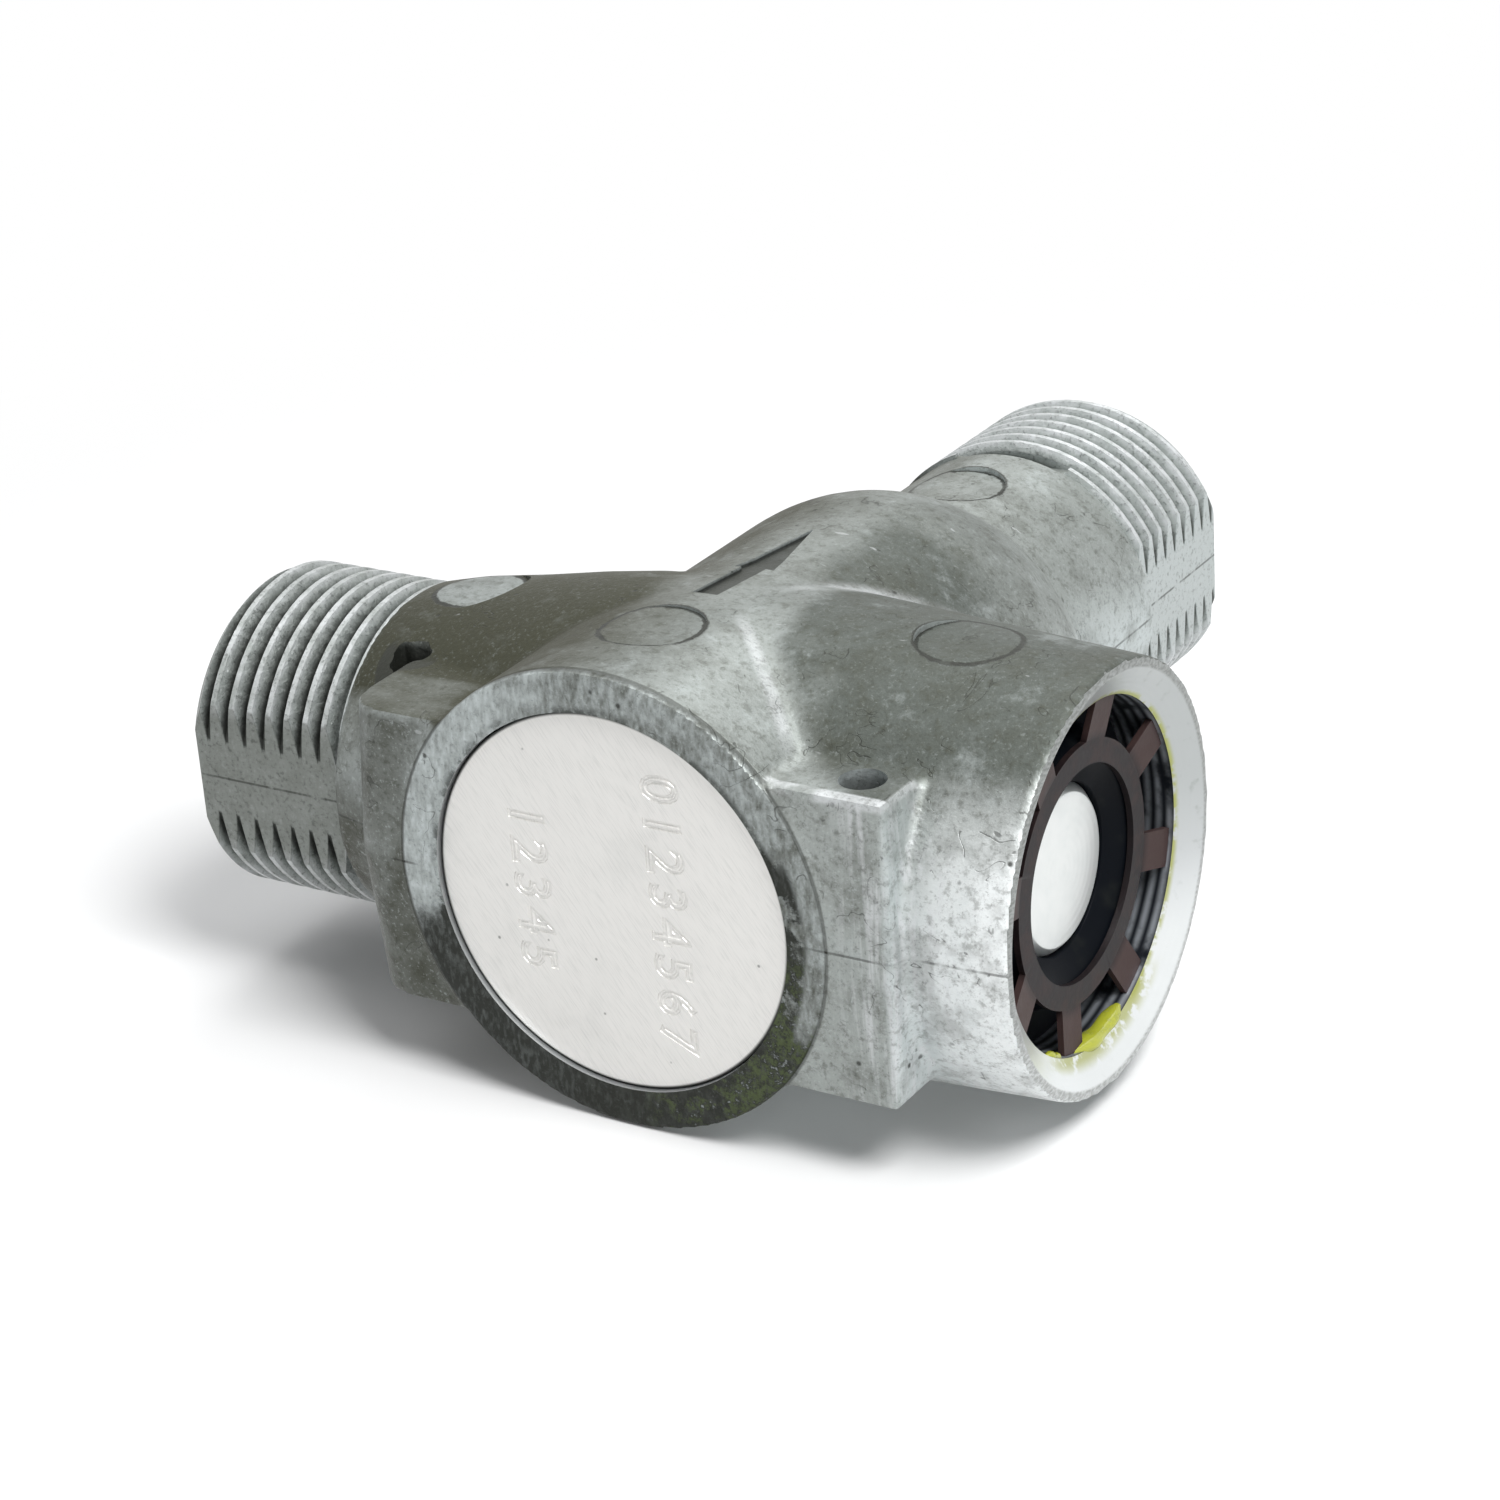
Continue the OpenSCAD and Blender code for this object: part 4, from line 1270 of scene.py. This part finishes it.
def plunger_material():
    """Pale plunger with faint turning marks and a grubby edge."""
    c = colours()
    m = Maker("plunger_face")
    x, y, z = m.axes()
    radius = far(y, z)
    rings = (radius * 9).math("SINE") * 0.5 + 0.5
    smear = m.noise(2, 4)
    grubby = smear.ramp(0.35, 0.8) * 0.22 + radius.ramp(5.3, 6.4) * 0.5
    base = m.blend(c.plunger, c.chalk, grubby.clamp())
    return m.finish(base, 0.3 + smear * 0.14, 0.8, m.bump(rings, 0.01, 0.4))


def lacquer_material():
    c = colours()
    m = Maker("sealing_lacquer")
    tone = m.noise(0.9, 3)
    base = m.blend(c.lacquer, c.moss, tone.ramp(0.5, 0.8) * 0.5)
    return m.finish(base, 0.2 + tone * 0.12, 0.0, m.bump(tone, 0.06, 0.5), coat_weight=0.5)


def plain_finish(name, base, roughness, metallic, size=1.2, depth=0.02):
    """A worn finish for the inner pieces: cloudy colour, uneven gloss and a fine surface."""
    c = colours()
    m = Maker(name)
    cloud = m.noise(size, 4)
    tint = m.blend(base, c.grime, cloud.ramp(0.5, 0.8) * 0.4)
    return m.finish(tint, roughness + cloud * 0.15, metallic, m.bump(m.noise(size / 4), depth, 0.4))


# ---------------------------------------------------------------- operators


class Piece:
    """What the operators share."""

    bl_options = {"REGISTER", "UNDO"}

    def execute(self, context):
        self.make()
        return {"FINISHED"}


class VALVE_OT_casting(Piece, bpy.types.Operator):
    """Model the cast body with its threads, bores, bosses and marks"""

    bl_idname = "valve.casting"
    bl_label = "Casting"

    def make(self):
        build_casting()


class VALVE_OT_disc(Piece, bpy.types.Operator):
    """Model the brushed cover disc and its stamped figures"""

    bl_idname = "valve.disc"
    bl_label = "Cover disc"

    def make(self):
        build_disc()


class VALVE_OT_plunger_end(Piece, bpy.types.Operator):
    """Model the retaining ring, plunger, bush and sealing lacquer"""

    bl_idname = "valve.plunger_end"
    bl_label = "Plunger end"

    def make(self):
        build_ring()
        build_plunger()
        build_bush()
        build_lacquer()


class VALVE_OT_inner(Piece, bpy.types.Operator):
    """Finish the seats, springs, seals and guides inside the body"""

    bl_idname = "valve.inner"
    bl_label = "Inner pieces"

    def make(self):
        c = colours()
        finishes = (
            (plain_finish("brass", c.brass, 0.24, 0.95),
             ("inlet_seat", "inlet_valve_disc", "stem_nut", "flow_seat_ring")),
            (plain_finish("rubber", c.rubber, 0.55, 0.0),
             ("cover_oring", "inlet_valve_seal", "plunger_seal", "guide_bush_oring", "flow_seat_oring",
              "poppet_seal")),
            (plain_finish("steel", c.steel, 0.22, 0.95),
             ("valve_stem", "spring_washer", "bush_circlip", "cartridge_circlip")),
            (plain_finish("moulding", c.plastic, 0.38, 0.0), ("flow_poppet", "poppet_guide")),
        )
        for material, names in finishes:
            for name in names:
                give(frame["nodes"][name], material)
        build_spring("return_spring")
        build_spring("poppet_spring")


class VALVE_OT_stage(Piece, bpy.types.Operator):
    """Lay the floor and place the lamps and the camera"""

    bl_idname = "valve.stage"
    bl_label = "Stage"

    def make(self):
        build_stage()


def build_stage():
    """A plain pale floor, three soft lamps and the camera."""
    scene = bpy.context.scene
    floor_z = CAD_BOX[0][2]
    bm = bmesh.new()
    bmesh.ops.create_grid(bm, x_segments=1, y_segments=1, size=3)
    bmesh.ops.translate(bm, vec=(CENTRE.x, 0, floor_z), verts=bm.verts)
    floor = add_object("floor", new_mesh("floor", bm))
    give(floor, floor_material())
    for name, place, size, watts in LAMPS:
        light = bpy.data.lights.new(name, "AREA")
        light.size = size
        light.energy = watts
        lamp = add_object(name, light)
        lamp.location = CENTRE + Vector(place)
        lamp.rotation_euler = (CENTRE - lamp.location).to_track_quat("-Z", "Y").to_euler()
    scene.world = studio_world()
    scene.camera = place_camera()
    scene.view_settings.view_transform = "Standard"


def place_camera():
    """The camera, from its lens, place and turn."""
    data = bpy.data.cameras.new("camera")
    data.lens = CAMERA_LENS
    data.sensor_width = 36
    camera = add_object("camera", data)
    camera.location = CENTRE + Vector(CAMERA_PLACE)
    camera.rotation_euler = Euler([math.radians(a) for a in CAMERA_TURN], "XYZ")
    return camera


def studio_world():
    """A soft bluish surround that the camera and reflections see as white."""
    world = bpy.data.worlds.new("studio")
    world.use_nodes = True
    tree = world.node_tree
    tree.nodes.clear()
    rays = tree.nodes.new("ShaderNodeLightPath").outputs
    seen = either(tree, rays["Is Camera Ray"], rays["Is Transmission Ray"])
    shiny = either(tree, seen, rays["Is Glossy Ray"])
    mix = tree.nodes.new("ShaderNodeMixShader")
    tree.links.new(shiny, mix.inputs[0])
    tree.links.new(background(tree, SURROUND, SURROUND_STRENGTH), mix.inputs[1])
    tree.links.new(background(tree, (1, 1, 1), 1.0), mix.inputs[2])
    end = tree.nodes.new("ShaderNodeOutputWorld")
    tree.links.new(mix.outputs[0], end.inputs["Surface"])
    return world


def either(tree, first, second):
    """1 where one or both of two ray tests hold."""
    node = tree.nodes.new("ShaderNodeMath")
    node.operation = "MAXIMUM"
    tree.links.new(first, node.inputs[0])
    tree.links.new(second, node.inputs[1])
    return node.outputs[0]


def background(tree, tint, strength):
    """An even surround of one colour."""
    node = tree.nodes.new("ShaderNodeBackground")
    node.inputs["Color"].default_value = (*tint, 1)
    node.inputs["Strength"].default_value = strength
    return node.outputs[0]


def floor_material():
    """A pale floor that the camera sees as white apart from the object's shadow."""
    m = Maker("pale_floor")
    c = colours()
    speck = m.noise(40, 2)
    base = m.blend(c.floor, [part * 1.02 for part in c.floor], speck)
    shader = m.add("ShaderNodeBsdfPrincipled", {}, {"Base Color": base, "Roughness": 0.85})
    glow = m.add("ShaderNodeEmission", {}, {"Color": (1, 1, 1, 1), "Strength": 1.0})
    x, y, z = m.axes()
    away = far(x, y).ramp(85, 190)
    direct = m.add("ShaderNodeLightPath", {}, (), "Is Camera Ray")
    shiny = m.add("ShaderNodeLightPath", {}, (), "Is Glossy Ray")
    whiteness = (direct * (away * 0.95 + 0.05) + shiny * 0.5).clamp()
    mix = m.add("ShaderNodeMixShader", {}, (whiteness, shader, glow))
    end = m.tree.nodes.new("ShaderNodeOutputMaterial")
    m.tree.links.new(mix.socket, end.inputs["Surface"])
    return m.material


STEPS = (VALVE_OT_casting, VALVE_OT_disc, VALVE_OT_plunger_end, VALVE_OT_inner, VALVE_OT_stage)


class VALVE_PT_panel(bpy.types.Panel):
    """Lists the valve's pieces in the sidebar."""

    bl_idname = "VALVE_PT_panel"
    bl_label = "Flow control valve"
    bl_space_type = "VIEW_3D"
    bl_region_type = "UI"
    bl_category = "Valve"

    def draw(self, context):
        for step in STEPS:
            self.layout.operator(step.bl_idname)
        for key, group in GROUPS.items():
            column = self.layout.column(align=True)
            for field in group.__annotations__:
                column.prop(getattr(context.scene, key), field)


def register():
    for cls in (*GROUPS.values(), *STEPS, VALVE_PT_panel):
        bpy.utils.register_class(cls)
    for key, group in GROUPS.items():
        setattr(bpy.types.Scene, key, PointerProperty(type=group))


def unregister():
    for key in GROUPS:
        delattr(bpy.types.Scene, key)
    for cls in reversed((*GROUPS.values(), *STEPS, VALVE_PT_panel)):
        bpy.utils.unregister_class(cls)


def main():
    register()
    for step in STEPS:
        group, name = step.bl_idname.split(".")
        getattr(getattr(bpy.ops, group), name)()


if __name__ == "__main__":
    main()
